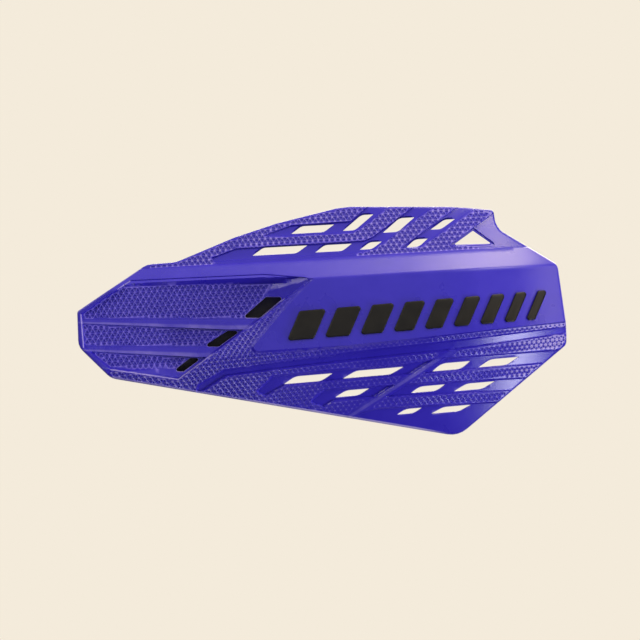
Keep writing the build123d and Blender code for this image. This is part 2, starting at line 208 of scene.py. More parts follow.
def inside(outline: Array, at: Array, reach: float = 12.0) -> Array:
    """Distance of points from an outline, positive inside it and negative outside.

    Each point takes the least distance to a side, and lies inside where a line
    to the right of it crosses the sides an odd number of times.

    Args:
        outline: Closed outline.
        at: x and z of the points.
        reach: Points further off than this all get its negative.

    Returns:
        One signed distance for each point.
    """
    near = np.all((at > outline.min(0) - reach) & (at < outline.max(0) + reach), axis=1)
    result = np.full(len(at), -reach)
    ends = np.roll(outline, -1, 0)
    run = ends - outline
    length = np.maximum((run ** 2).sum(1), TINY)
    rise = np.where(np.abs(run[:, 1]) < TINY, TINY, run[:, 1])
    found = []
    for rows in np.array_split(at[near], max(1, ceil(near.sum() / BATCH))):
        away = rows[:, None] - outline[None]
        share = np.clip((away * run).sum(2) / length, 0, 1)
        gap = np.sqrt(((away - share[..., None] * run) ** 2).sum(2).min(1))
        across = (outline[:, 1] > rows[:, None, 1]) != (ends[:, 1] > rows[:, None, 1])
        right = away[..., 0] < away[..., 1] / rise * run[:, 0]
        found.append(np.where((across & right).sum(1) % 2 == 1, gap, -gap))
    result[near] = np.maximum(np.concatenate(found), -reach)
    return result


# Shader expressions


@dataclass(frozen=True)
class Grain:
    """Noise over a piece.

    Its scale is in waves a metre, detail is the number of finer layers, rough is
    their strength, and stretch is a factor on the scale along each axis.
    """

    scale: float
    detail: float = 2.0
    rough: float = 0.5
    stretch: Sequence[float] = (1.0, 1.0, 1.0)


class Value:
    """Socket of a shader node that takes part in Python arithmetic."""

    def __init__(self, recipe: Recipe, socket: bpy.types.NodeSocket) -> None:
        """Keeps the recipe that the socket belongs to."""
        self.recipe = recipe
        self.socket = socket

    def math(self, operation: str, first: Any, second: Any) -> Value:
        """Adds a Math node on two values."""
        return self.recipe.node("ShaderNodeMath", {"operation": operation}, {0: first, 1: second})

    def __add__(self, other: Any) -> Value:
        """Sum."""
        return self.math("ADD", self, other)

    def __sub__(self, other: Any) -> Value:
        """Difference."""
        return self.math("SUBTRACT", self, other)

    def __rsub__(self, other: Any) -> Value:
        """Difference from a number."""
        return self.math("SUBTRACT", other, self)

    def __mul__(self, other: Any) -> Value:
        """Product."""
        return self.math("MULTIPLY", self, other)

    __radd__ = __add__
    __rmul__ = __mul__

    def ramp(self, start: float, end: float) -> Value:
        """Smooth step from 0 at start to 1 at end."""
        sockets = {"Value": self, "From Min": start, "From Max": end}
        return self.recipe.node("ShaderNodeMapRange", {"interpolation_type": "SMOOTHSTEP"}, sockets)


class Recipe:
    """Node tree of a material or of the world."""

    def __init__(self, owner: Union[bpy.types.Material, bpy.types.World]) -> None:
        """Starts with the nodes that a new owner has.

        Args:
            owner: Material or world whose nodes these are.
        """
        owner.use_nodes = True
        self.owner = owner
        self.tree = owner.node_tree

    @classmethod
    def named(cls, name: str) -> Recipe:
        """Recipe of a new material."""
        return cls(bpy.data.materials.new(name))

    def node(
        self, kind: str, settings: dict[str, Any], sockets: dict[Any, Any], output: Union[int, str] = 0
    ) -> Value:
        """Adds a node.

        Args:
            kind: Type of the node.
            settings: Its own properties, set before its sockets.
            sockets: Value or link of each input, by name or number.
            output: Name or number of the output that is wanted.

        Returns:
            That output.
        """
        made = self.tree.nodes.new(kind)
        for name, setting in settings.items():
            setattr(made, name, setting)
        for name, wanted in sockets.items():
            self.feed(made.inputs[name], wanted)
        return Value(self, made.outputs[output])

    def feed(self, socket: bpy.types.NodeSocket, wanted: Any) -> None:
        """Links a value to a socket, or sets the socket to a number or colour.

        Args:
            socket: Input of a node.
            wanted: Value to link, or number or colour to set.
        """
        if isinstance(wanted, Value):
            self.tree.links.new(wanted.socket, socket)
        elif isinstance(wanted, tuple) and len(wanted) == 3 and socket.type == "RGBA":
            socket.default_value = (*wanted, 1.0)
        else:
            socket.default_value = wanted

    def place(self) -> Value:
        """Position on the piece, in metres."""
        return self.node("ShaderNodeTexCoord", {}, {}, "Object")

    def noise(self, grain: Grain) -> Value:
        """Noise over the piece.

        Args:
            grain: Its scale, layers and stretch.

        Returns:
            Grey value from 0 to 1, which lies about one half.
        """
        spot = self.node("ShaderNodeMapping", {}, {"Vector": self.place(), "Scale": tuple(grain.stretch)})
        sockets = {"Vector": spot, "Scale": grain.scale, "Detail": grain.detail, "Roughness": grain.rough}
        return self.node("ShaderNodeTexNoise", {}, sockets)

    def attribute(self, name: str) -> Value:
        """Number kept on the mesh under a name."""
        return self.node("ShaderNodeAttribute", {"attribute_name": name}, {}, "Fac")

    def blend(self, share: Any, first: Any, second: Any) -> Value:
        """Mix of two colours, from the first at a share of 0 to the second at 1."""
        sockets = {MIX_SHARE: share, MIX_FIRST: first, MIX_SECOND: second}
        return self.node("ShaderNodeMix", {"data_type": "RGBA"}, sockets, MIX_RESULT)

    def bump(self, height: Value, strength: float, distance: float) -> Value:
        """Normal tilted by a height, of which 1 stands for a distance in metres."""
        sockets = {"Height": height, "Strength": strength, "Distance": distance}
        return self.node("ShaderNodeBump", {}, sockets)

    def shade(self, **sockets: Any) -> bpy.types.Material:
        """Feeds the Principled shader.

        Args:
            **sockets: Value, number or colour for each socket, named with underscores.

        Returns:
            The material.
        """
        shader = self.tree.nodes["Principled BSDF"]
        for name, wanted in sockets.items():
            self.feed(shader.inputs[name.replace("_", " ")], wanted)
        return self.owner


# Finishes


@dataclass(frozen=True)
class ShieldPlastic:
    """Blue moulded plastic: smooth fields with a faint mottle, duller texture, painted highlights.

    The mesh says how much texture, lattice line and pale rim each point has. The pale
    rim and the lattice lines are painted highlights, and the lattice's pits painted shade.
    """

    deep: Colour = linear(42, 31, 178)
    light: Colour = linear(52, 41, 188)
    # Pit colour: painted shade in the texture's pits; ridge colour: painted highlight along its lattice
    # lines.
    pit: Colour = linear(38, 28, 166)
    ridge: Colour = linear(128, 114, 240)
    # Rim colour: painted highlight on edges, bead, lips, ribs, sill and lattice corners.
    rim: Colour = linear(185, 176, 236)
    mottle: Grain = Grain(scale=55.0, detail=3.0, rough=0.6)
    flow: Grain = Grain(scale=16.0, detail=2.0, rough=0.5, stretch=(0.4, 1.0, 1.6))
    grain: Grain = Grain(scale=2600.0, detail=2.0, rough=0.6)
    mottle_share: float = 0.55
    field_span: Span = (0.3, 0.7)
    line_break: float = 0.16
    line_span: Span = (0.72, 1.06)
    rim_least: float = 0.6
    rim_growth: float = 0.8
    rim_span: Span = (0.3, 0.95)
    rim_cover: float = 0.7
    gloss: float = 0.28
    dull: float = 0.55
    uneven: float = 0.06
    ior: float = 1.46
    mottle_height: float = 0.5
    bump_strength: float = 0.35
    bump_depth: float = 0.00006

    def material(self) -> bpy.types.Material:
        """Builds the material.

        Returns:
            The new material.
        """
        recipe = Recipe.named("shield_blue")
        mottle, flow, grain = [recipe.noise(kind) for kind in (self.mottle, self.flow, self.grain)]
        textured, ridge, rim = [recipe.attribute(name) for name in ("textured", "ridge", "rim")]
        cloud = mottle * self.mottle_share + flow * (1 - self.mottle_share)
        smooth = recipe.blend(cloud.ramp(*self.field_span), self.deep, self.light)
        # Lattice colour: pale lines painted as highlights, darker pits painted as shade.
        broken = ridge + (mottle - 0.5) * self.line_break
        lattice = recipe.blend(broken.ramp(*self.line_span), self.pit, self.ridge)
        # Painted highlight: the pale rim colour laid on by the rim share, broken up by the mottle.
        painted_highlight = (rim * (self.rim_least + mottle * self.rim_growth)).ramp(*self.rim_span)
        colour = recipe.blend(textured, smooth, lattice)
        colour = recipe.blend(painted_highlight * self.rim_cover, colour, self.rim)
        rough = self.gloss + textured * (self.dull - self.gloss)
        rough = rough + (mottle - 0.5) * self.uneven + (flow - 0.5) * self.uneven
        normal = recipe.bump(grain + mottle * self.mottle_height, self.bump_strength, self.bump_depth)
        return recipe.shade(Base_Color=colour, Roughness=rough, Normal=normal, IOR=self.ior)


@dataclass(frozen=True)
class InlayRubber:
    """Black rubbery inlay with a soft sheen and a fine grain."""

    dark: Colour = linear(9, 8, 7)
    pale: Colour = linear(19, 18, 15)
    cloud: Grain = Grain(scale=140.0, detail=3.0)
    grain: Grain = Grain(scale=3200.0)
    colour_span: Span = (0.3, 0.75)
    gloss: float = 0.36
    cloud_dulls: float = 0.16
    specular: float = 0.3
    bump_strength: float = 0.3
    bump_depth: float = 0.00004

    def material(self) -> bpy.types.Material:
        """Builds the material.

        Returns:
            The new material.
        """
        recipe = Recipe.named("inlay_black")
        cloud, grain = recipe.noise(self.cloud), recipe.noise(self.grain)
        colour = recipe.blend(cloud.ramp(*self.colour_span), self.dark, self.pale)
        rough = self.gloss + cloud * self.cloud_dulls
        normal = recipe.bump(grain, self.bump_strength, self.bump_depth)
        return recipe.shade(
            Base_Color=colour, Roughness=rough, Normal=normal, Specular_IOR_Level=self.specular
        )


@dataclass(frozen=True)
class BracketPlastic:
    """Black fibre-filled plastic with the coarse grain of an eroded mould."""

    dark: Colour = linear(22, 22, 23)
    pale: Colour = linear(46, 46, 47)
    cloud: Grain = Grain(scale=70.0, detail=3.0, rough=0.55)
    grain: Grain = Grain(scale=1500.0, detail=3.0, rough=0.6)
    fibre: Grain = Grain(scale=420.0, detail=2.0, rough=0.5, stretch=(0.25, 1.0, 1.0))
    cloud_share: float = 0.6
    colour_span: Span = (0.35, 0.75)
    gloss: float = 0.46
    cloud_dulls: float = 0.14
    grain_dulls: float = 0.06
    ior: float = 1.5
    bump_strength: float = 0.55
    bump_depth: float = 0.00012

    def material(self) -> bpy.types.Material:
        """Builds the material.

        Returns:
            The new material.
        """
        recipe = Recipe.named("bracket_black")
        cloud, grain, fibre = [recipe.noise(kind) for kind in (self.cloud, self.grain, self.fibre)]
        mixed = cloud * self.cloud_share + fibre * (1 - self.cloud_share)
        colour = recipe.blend(mixed.ramp(*self.colour_span), self.dark, self.pale)
        rough = self.gloss + cloud * self.cloud_dulls + grain * self.grain_dulls
        normal = recipe.bump(grain, self.bump_strength, self.bump_depth)
        return recipe.shade(Base_Color=colour, Roughness=rough, Normal=normal, IOR=self.ior)


@dataclass(frozen=True)
class SleeveRubber:
    """Dull soft rubber with a dusty bloom."""

    dark: Colour = linear(26, 26, 26)
    bloom: Colour = linear(58, 57, 55)
    dust: Grain = Grain(scale=260.0, detail=4.0, rough=0.6)
    ring: Grain = Grain(scale=900.0, detail=2.0, rough=0.5, stretch=(1.0, 0.15, 0.15))
    dust_span: Span = (0.45, 0.8)
    dust_cover: float = 0.7
    dull: float = 0.72
    dust_dulls: float = 0.16
    bump_strength: float = 0.5
    bump_depth: float = 0.00008

    def material(self) -> bpy.types.Material:
        """Builds the material.

        Returns:
            The new material.
        """
        recipe = Recipe.named("sleeve_rubber")
        dust, ring = recipe.noise(self.dust), recipe.noise(self.ring)
        colour = recipe.blend(dust.ramp(*self.dust_span) * self.dust_cover, self.dark, self.bloom)
        rough = self.dull + dust * self.dust_dulls
        normal = recipe.bump(ring + dust, self.bump_strength, self.bump_depth)
        return recipe.shade(Base_Color=colour, Roughness=rough, Normal=normal)


class Plating(Enum):
    """Metal surfaces of the fixings: name, main colour and second colour."""

    ZINC = ("zinc_steel", linear(176, 176, 172), linear(136, 137, 138))
    BRASS = ("insert_brass", linear(196, 160, 92), linear(150, 114, 58))


@dataclass(frozen=True)
class FixingMetal:
    """Plated metal with spangle, fine turning marks and a dull bloom."""

    plating: Plating
    spangle: Grain = Grain(scale=620.0, detail=3.0, rough=0.6)
    turning: Grain = Grain(scale=2400.0, detail=2.0, rough=0.5, stretch=(1.0, 0.2, 1.0))
    colour_span: Span = (0.35, 0.7)
    gloss: float = 0.24
    spangle_dulls: float = 0.2
    turning_dulls: float = 0.06
    bump_strength: float = 0.25
    bump_depth: float = 0.00003

    def material(self) -> bpy.types.Material:
        """Builds the material.

        Returns:
            The new material.
        """
        name, main, second = self.plating.value
        recipe = Recipe.named(name)
        spangle, turning = recipe.noise(self.spangle), recipe.noise(self.turning)
        colour = recipe.blend(spangle.ramp(*self.colour_span), main, second)
        rough = self.gloss + spangle * self.spangle_dulls + turning * self.turning_dulls
        normal = recipe.bump(turning, self.bump_strength, self.bump_depth)
        return recipe.shade(Base_Color=colour, Metallic=1.0, Roughness=rough, Normal=normal)


@dataclass(frozen=True)
class FloorPaper:
    """Pale paper that fades into the backdrop away from the guard."""

    colour: Colour = linear(240, 232, 217)
    dull: float = 0.9
    clear_span: Span = (0.10, 0.45)

    def material(self) -> bpy.types.Material:
        """Builds the material, which clears with the level distance from the origin in metres.

        Returns:
            The new material.
        """
        recipe = Recipe.named("floor_paper")
        level = recipe.node("ShaderNodeMapping", {}, {"Vector": recipe.place(), "Scale": (1.0, 1.0, 0.0)})
        far = recipe.node("ShaderNodeVectorMath", {"operation": "LENGTH"}, {0: level}, "Value")
        alpha = 1 - far.ramp(*self.clear_span)
        return recipe.shade(Base_Color=self.colour, Roughness=self.dull, Alpha=alpha)


# Meshes


def write_mesh(
    name: str, points: Array, faces: list[Array], sharp: float, **marks: Array
) -> bpy.types.Object:
    """Makes an object from points in millimetres.

    Args:
        name: Name of the piece.
        points: x, y and z of each point.
        faces: Arrays of faces, each with one number of corners.
        sharp: Angle, in degrees, past which an edge is left sharp.
        **marks: Numbers to keep on the points, by name.

    Returns:
        The object, in the scene and at the origin.
    """
    mesh = bpy.data.meshes.new(name)
    mesh.from_pydata((points * MM).tolist(), [], [row for group in faces for row in group.tolist()])
    for mark, values in marks.items():
        mesh.attributes.new(mark, "FLOAT", "POINT").data.foreach_set("value", values.astype(np.float32))
    mesh.shade_smooth()
    mesh.set_sharp_from_angle(angle=radians(sharp))
    mesh.validate()
    piece = bpy.data.objects.new(name, mesh)
    bpy.context.scene.collection.objects.link(piece)
    return piece


def settle(
    piece: bpy.types.Object, material: bpy.types.Material, slot: str, *nodes: str
) -> bpy.types.Object:
    """Dresses a piece, lets it ride on the guard and stand for the nodes it replaces.

    Args:
        piece: The finished object.
        material: What it is made of.
        slot: Slot name for that material; not used.
        *nodes: Nodes that it stands for.

    Returns:
        The same object.
    """
    piece.data.materials.clear()
    piece.data.materials.append(material)
    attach(piece, BODY)
    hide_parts(*nodes)
    log.info("%s: %d faces, stands for %s", piece.name, len(piece.data.polygons), ", ".join(nodes))
    return piece


def ring_faces(rows: int, columns: int) -> Array:
    """Faces of a tube of rows, each a closed ring of columns.

    Point k of row r has the number r * columns + k, and each face joins points
    k and k + 1 of one row to those of the next.

    Args:
        rows: Number of rings.
        columns: Points in each ring.

    Returns:
        Four corners for each face.
    """
    r, k = np.meshgrid(np.arange(rows - 1), np.arange(columns), indexing="ij")
    here = r * columns + k
    there = r * columns + (k + 1) % columns
    return np.stack([here, there, there + columns, here + columns], 2).reshape(-1, 4)


def end_faces(rows: int, columns: int) -> list[Array]:
    """Two faces that close a tube of rows: its first ring, turned round, and its last."""
    ring = np.arange(columns)[None]
    return [ring[:, ::-1], ring + (rows - 1) * columns]


class Plan:
    """Points and lines of the front view that a triangulation keeps."""

    def __init__(self) -> None:
        """Starts with nothing drawn."""
        self.points: list[Array] = []
        self.edges: list[Array] = []
        self.count = 0

    def add_points(self, points: Array) -> Array:
        """Adds loose points.

        Args:
            points: x and z of each point.

        Returns:
            Their numbers in the plan.
        """
        self.points.append(points)
        self.count += len(points)
        return np.arange(self.count - len(points), self.count)

    def add_line(self, points: Array, step: float, closed: bool = True) -> None:
        """Adds a line, divided so that no run is longer than a step.

        Args:
            points: Points of the line.
            step: Longest run that is left whole.
            closed: Whether the last point runs back to the first.
        """
        numbers = self.add_points(divide(points, step, closed))
        pairs = np.stack([numbers, np.roll(numbers, -1)], 1)
        self.edges.append(pairs if closed else pairs[:-1])

    def triangles(self) -> tuple[Array, Array]:
        """Triangulates everything that was drawn.

        Returns:
            Points of the triangulation, and the three corners of each triangle,
            anticlockwise.
        """
        points = [Vector(row) for row in np.vstack(self.points).tolist()]
        found = delaunay_2d_cdt(points, np.vstack(self.edges).tolist(), [], 0, MERGE_GAP, False)
        return np.array([tuple(row) for row in found[0]]), np.array(found[2])


# Shield


class Area(IntEnum):
    """Textured areas of the shield: above the brow, on the panel's floor, and below the chin."""

    UPPER = 0
    PANEL = 1
    LOWER = 2


class Kind(IntEnum):
    """Kinds of triangle in a lattice, by the way they point."""

    UPRIGHT = 0
    HANGING = 1


# Rows and columns, from a lattice place, of the corners of each kind of triangle
TRIANGLES = {
    Kind.UPRIGHT: ((0, 0), (0, 1), (1, 0)),
    Kind.HANGING: ((1, 1), (1, 0), (0, 1)),
}


@dataclass
class Shield:
    """Moulded shield, drawn in the front view and given its depth by two height fields."""

    # Reach of the ridge ahead of the bar and its bend in plan
    ridge_reach: float = 84.0
    crown_x: float = 40.0
    main_radius: float = 900.0
    tip_start: float = 112.0
    tip_radius: float = 155.0
    tip_turn: float = radians(45.0)
    plan_margin: float = 9.0
    plan_samples: int = 600

    # Creases, each by its height at the clamp and its rise outboard, and the fall of the faces between them
    brow: Span = (20.3, 0.059)
    ridge: Span = (10.0, 0.058)
    chin: Span = (-31.9, 0.110)
    brow_drop: float = 11.5
    top_drop: float = 27.0
    chin_lead: float = 2.0
    bottom_drop: float = 33.0
    top_height: float = 61.0
    bottom_height: float = -80.4
    ridge_soft: float = 0.8
    chin_soft: Corners = ((20.0, 4.0), (42.0, 0.05))

    # Wall and rounded edges
    wall: float = 3.6
    least_wall: float = 0.4
    edge_round: float = 0.9
    vent_round: float = 0.45
    back_round: float = 0.6
    mouth_round: float = 0.45
    round_steps: int = 5
    opening_reach: float = 6.0
    sharp: float = 24.0

    # Pads, channels and bead; tables run along x
    pad_step: float = 0.9
    brow_bevel: float = 0.5
    chin_bevel: Corners = ((-20.0, 2.6), (107.0, 1.9), (137.0, 0.6))
    band_bevel: float = 1.4
    channel_depth: float = 1.2
    upper_wall: float = 0.42
    lower_wall: float = 1.0
    channel_corner: float = 1.2
    bead: Corners = ((137.5, -25.0), (79.5, -62.5))
    bead_width: float = 4.6
    bead_flat: float = 0.125
    bead_height: float = 0.5
    bead_fade: float = 12.0
    bead_lines: int = 9

    # Sunk panel with its ribs, its box behind and the bosses on that
    floor_reach: float = 76.0
    floor_back: float = 73.2
    tray_slope: float = 1.455
    tray_side: float = 2.4
    box_side: float = 0.3
    ramp_foot: Corners = ((38.4, 7.4), (34.6, 3.8))
    ramp_lip: float = 1.5
    ramp_top: Sequence[float] = (36.6, 10.4)
    ramp_overruns: Span = (4.0, 0.3)
    top_wall_span: Span = (-60.0, 45.0)
    top_wall_samples: int = 60
    mouth_insets: Sequence[float] = (-0.45, -0.28, -0.13, 0.8, 1.5)
    rib_height: float = 2.0
    rib_side: float = 0.3
    rib_groove: float = 0.5
    groove_reach: float = 0.5
    groove_ends: Span = (-0.7, -0.2)
    boss_flats: float = 11.5
    boss_reach: float = 66.0
    boss_side: float = 0.1
    boss_step: float = 6.0
    insert_flats: float = 7.04
    insert_end: float = 73.5
    insert_side: float = 0.02
    boss_places: Corners = ((-36.0, -1.0), (16.0, -1.0), (-30.0, -28.0))

    # Texture: a lattice of triangles, whose bases give height, rise and growth in each area
    knurl_pitch: float = 3.08
    knurl_depth: float = 0.42
    knurl_fade: float = 0.6
    knurl_dip: float = 0.07
    # Share by which the painted highlight on the lattice lines fades half way between their corners.
    line_highlight_fade: float = 0.12
    knurl_margin: float = 0.25
    knurl_slack: float = 1e-4
    knurl_bases: Corners = ((21.1, 0.059, 1.09), (0.0, 0.058, 1.0), (-32.9, 0.110, 1.25))
    knurl_wear: Corners = ((20.0, 1.0), (45.0, 0.6), (90.0, 0.45), (120.0, 0.55), (180.0, 1.0))
    search_turn: float = 0.3
    search_reach: float = 0.05
    border_slack: float = 0.02

    # Painted highlights on edges, lips, ribs, sill and lattice lines; tables run along x
    edge_shine: float = 0.85
    upper_edge: float = 0.5
    edge_fade: float = 0.6
    opening_fade: float = 0.5
    lip_fade: float = 0.4
    bead_shine: float = 0.46
    rib_shine: float = 0.5
    rib_shares: Sequence[float] = (0.1, 0.15, 0.65, 0.9)
    rib_lip: float = 0.15
    sill_width: float = 1.5
    sill_shine: Corners = ((-50.0, 0.6), (20.0, 0.75), (60.0, 1.0), (115.0, 1.0), (135.0, 0.4))
    # Painted highlight on the lattice's lines and corners, above the brow and below the chin, strongest at
    # the tip.
    upper_glint: float = 0.7
    lower_glint: Corners = (
        (20.0, 0.76), (45.0, 0.54), (100.0, 0.52), (140.0, 0.56), (160.0, 0.66), (174.0, 1.0),
        (190.0, 1.6),
    )
    glint_least: float = 0.4
    glint_span: Span = (0.7, 0.88)
    upper_cover: float = 0.85
    lower_cover: float = 0.5

    # Spacing of the plan's points, and how far loose ones stay from edges, texture, lines and creases
    line_step: float = 1.8
    fill_step: float = 3.2
    fill_from_edge: float = 1.6
    fill_from_texture: float = 0.4
    fill_from_line: float = 1.2
    fill_from_crease: float = 2.6
    crease_margin: float = 2.0
    crease_samples: int = 300

    # Outline: x, z and rounding of each corner
    outline: Corners = (
        (-70.1, -4.7, 2.0), (-31.9, 21.2, 10.0), (-16.0, 22.4, 16.0), (27.5, 40.8, 160.0),
        (75.9, 53.0, 30.0), (138.1, 53.0, 120.0), (158.8, 51.2, 2.0), (159.8, 44.6, 5.0),
        (162.2, 40.2, 8.0), (194.1, 21.2, 5.0), (199.2, -13.8, 40.0), (199.2, -22.9, 4.0),
        (139.5, -73.4, 13.0), (-51.5, -41.4, 9.0), (-69.4, -24.0, 8.0),
    )

    # Vents: lower left corner, lean and rise to the upper edge, and length
    upper_vents: Corners = (
        (26.2, 26.0, 5.8, 4.3, 24.2), (60.7, 27.8, 5.1, 4.0, 14.9), (85.2, 29.3, 5.4, 4.1, 6.6),
        (110.8, 30.6, 4.7, 4.4, 6.9), (47.5, 38.0, 5.6, 4.2, 17.9), (75.9, 39.7, 10.1, 8.7, 6.6),
        (97.9, 38.7, 9.1, 8.0, 8.2), (124.1, 40.4, 7.6, 5.5, 5.8),
    )
    lower_vents: Corners = (
        (43.6, -44.5, 6.0, 4.1, 20.4), (76.0, -41.4, 7.1, 4.1, 25.9),
        (125.2, -37.5, 4.7, 4.2, 15.7), (150.6, -35.3, 6.3, 4.3, 15.4),
        (71.8, -51.8, 5.8, 3.7, 12.5), (113.5, -49.4, 4.5, 3.4, 13.8),
        (137.1, -48.5, 6.9, 4.1, 15.4), (105.9, -61.3, 4.4, 2.9, 8.8),
        (124.7, -60.8, 6.6, 3.5, 14.9),
    )
    upper_rise: float = 0.055
    lower_rise: float = 0.085
    upper_vent_corner: float = 6.0
    lower_vent_corner: float = 9.5
    vent_turn: float = 0.12
    hood_shift: Sequence[float] = (-0.25, 0.95)
    hood_slope: float = 1.8
    hood_depth: float = 1.7
    corner_vent: Corners = ((136.8, 32.1), (147.4, 39.8), (157.6, 32.7))
    corner_vent_round: float = 0.35
    corner_groove: Corners = ((147.6, 41.0), (158.6, 32.9))
    groove_width: float = 1.1
    groove_flat: float = 0.25
    groove_depth: float = 0.7
    groove_lines: Sequence[float] = (-0.5, -0.25, 0.25, 0.5)

    # Outlines of the relief by x and z of their corners; walls by their widths at both ends of a side
    upper_channels: Sequence[Corners] = (
        ((3.9, 24.8), (17.1, 29.9), (52.3, 32.0), (87.4, 34.2), (91.9, 36.0), (116.5, 54.2),
         (127.3, 54.2), (93.0, 29.4), (88.0, 28.0), (80.9, 27.0), (4.6, 22.6)),
        ((32.6, 37.0), (47.5, 42.6), (79.8, 44.9), (91.0, 54.2), (102.3, 54.2), (86.0, 40.9),
         (80.9, 38.6), (45.1, 36.6)),
        ((108.1, 30.3), (140.7, 54.2), (151.5, 54.2), (118.3, 30.3)),
        ((134.5, 31.6), (158.8, 49.6), (172.0, 44.0), (182.0, 30.6), (156.0, 31.0)),
    )
    lower_channels: Sequence[Corners] = (
        ((-2.8, -44.6), (9.9, -37.2), (33.6, -33.6), (96.3, -25.4), (137.0, -20.8), (202.0, -12.6),
         (202.0, -16.2), (137.0, -25.6), (96.3, -29.9), (51.7, -34.9), (11.6, -40.2), (-0.6, -48.2),
         (-6.0, -50.0)),
        ((28.1, -49.0), (37.4, -40.2), (71.0, -37.0), (108.9, -33.9), (130.0, -30.5),
         (202.0, -25.4), (202.0, -31.8), (124.3, -38.3), (64.9, -43.2), (44.0, -45.4),
         (33.6, -51.2)),
        ((57.2, -54.5), (65.5, -48.0), (76.5, -46.9), (113.9, -44.6), (181.0, -41.0),
         (181.0, -47.4), (122.7, -50.5), (85.8, -52.2), (71.0, -53.6), (65.5, -57.2)),
        ((78.0, -62.6), (95.7, -58.0), (118.3, -56.9), (165.0, -54.4), (150.0, -80.0),
         (90.0, -80.0)),
    )
    tray: Corners = (
        (-68.0, -6.3), (-40.8, 12.3), (43.5, 16.2), (59.4, 13.0), (-14.5, -42.0), (-51.5, -36.6),
        (-66.6, -24.4),
    )
    tray_corners: Sequence[float] = (1.0, 1.0, 90.0, 1.5, 1.0, 1.0, 1.0)
    tray_walls: Corners = (
        (0.7, 0.7), (0.2, 0.2), (0.6, 0.6), (1.0, 1.0), (5.6, 0.9), (1.1, 1.1), (0.9, 0.9),
    )
    band: Corners = (
        (60.5, 13.6), (44.5, -2.8), (24.4, -26.6), (80.0, -23.1), (80.0, -90.0), (-90.0, -90.0),
        (-53.0, -36.0), (-24.0, -20.0), (54.0, 13.8),
    )
    band_corners: Sequence[float] = (0.0, 0.0, 2.0, 0.0, 0.0, 0.0, 0.0, 0.0, 0.0)
    ribs: Sequence[Corners] = (
        ((-70.0, -8.9), (-70.0, -11.4), (12.0, -14.8), (24.0, -14.8), (32.0, -8.9)),
        ((-70.0, -23.9), (-70.0, -26.4), (-5.0, -29.9), (3.5, -29.9), (11.0, -24.2)),
    )
    windows: Sequence[Corners] = (
        ((20.6, -8.2), (33.6, 3.2), (43.8, 3.2), (30.0, -8.2)),
        ((-1.1, -24.0), (12.7, -15.2), (19.8, -15.2), (7.6, -24.0)),
        ((-17.4, -37.6), (-8.0, -30.2), (-1.7, -30.2), (-11.6, -37.6)),
    )
    window_round: float = 1.0
    # Painted highlights: short pale lines along the panel's mouth, the ends of two lower channels and a
    # window's edge.
    highlight_lines: Sequence[Corners] = (
        ((4.0, -28.2), (-14.5, -42.0)),
        ((-14.5, -42.0), (-51.5, -36.6)),
        ((-66.6, -24.4), (-68.0, -6.3)),
        ((-48.0, 7.4), (-41.0, 12.1)),
        ((44.0, -45.4), (35.0, -50.4)),
        ((71.0, -53.6), (66.5, -56.6)),
        ((31.0, -7.9), (43.9, 2.4)),
    )
    finish: ShieldPlastic = ShieldPlastic()

    def __post_init__(self) -> None:
        """Works out the outlines and textured triangles that the height fields and the plan share."""
        self.edge = rounded(self.outline, [corner[2] for corner in self.outline])
        self.plan_x = self.along(self.plan_margin, self.plan_samples)
        steps = np.hypot(np.diff(self.plan_x), np.diff(self.forward(self.plan_x)))
        self.plan_length = np.concatenate([[0.0], np.cumsum(steps)])
        upper = [self.slot(vent, self.upper_rise, self.upper_vent_corner) for vent in self.upper_vents]
        lower = [self.slot(vent, self.lower_rise, self.lower_vent_corner) for vent in self.lower_vents]
        corner = rounded(self.corner_vent, self.corner_vent_round)
        windows = [rounded(window, self.window_round) for window in self.windows]
        self.openings = [*upper, *lower, corner, *windows]
        self.hoods = [vent + np.array(self.hood_shift) for vent in upper]
        upper_half, lower_half = self.upper_wall / 2, self.lower_wall / 2
        self.channels = [(rounded(shape, 0.0), upper_half) for shape in self.upper_channels]
        self.channels += [(rounded(shape, self.channel_corner), lower_half) for shape in self.lower_channels]
        self.mouth = rounded(self.tray, self.tray_corners)
        self.backing = beside(self.mouth, self.tray_side)
        self.band_edge = rounded(self.band, self.band_corners)
        self.rib_edges = [rounded(rib, 0.0) for rib in self.ribs]
        self.bosses = [self.hexagon(place, self.boss_flats) for place in self.boss_places]
        self.sockets = [self.hexagon(place, self.insert_flats) for place in self.boss_places]
        self.cells = {area: self.texture_cells(area) for area in Area}

    def along(self, margin: float, samples: int) -> Array:
        """Even places along x, from a margin inboard of the shield to one outboard of it."""
        return np.linspace(self.edge[:, 0].min() - margin, self.edge[:, 0].max() + margin, samples)

    def slot(self, vent: Sequence[float], slope: float, radius: float) -> Array:
        """Slanted vent with its two blunt corners rounded.

        Args:
            vent: Lower left corner, lean and rise to the upper edge, and length.
            slope: Rise of the long edges for each millimetre outboard.
            radius: Rounding of the blunt corners.

        Returns:
            Outline of the vent.
        """
        x, z, lean, rise, length = vent
        low = (x + length, z + slope * length)
        corners = ((x, z), low, (low[0] + lean, low[1] + rise), (x + lean, z + rise))
        return rounded(corners, (0.0, radius, 0.0, radius), self.vent_turn)

    def hexagon(self, place: Sequence[float], flats: float) -> Array:
        """Hexagon round a place, given across its flats, with two corners level."""
        angles = np.arange(6) * pi / 3
        return np.array(place) + flats / sqrt(3) * np.stack([np.cos(angles), np.sin(angles)], 1)

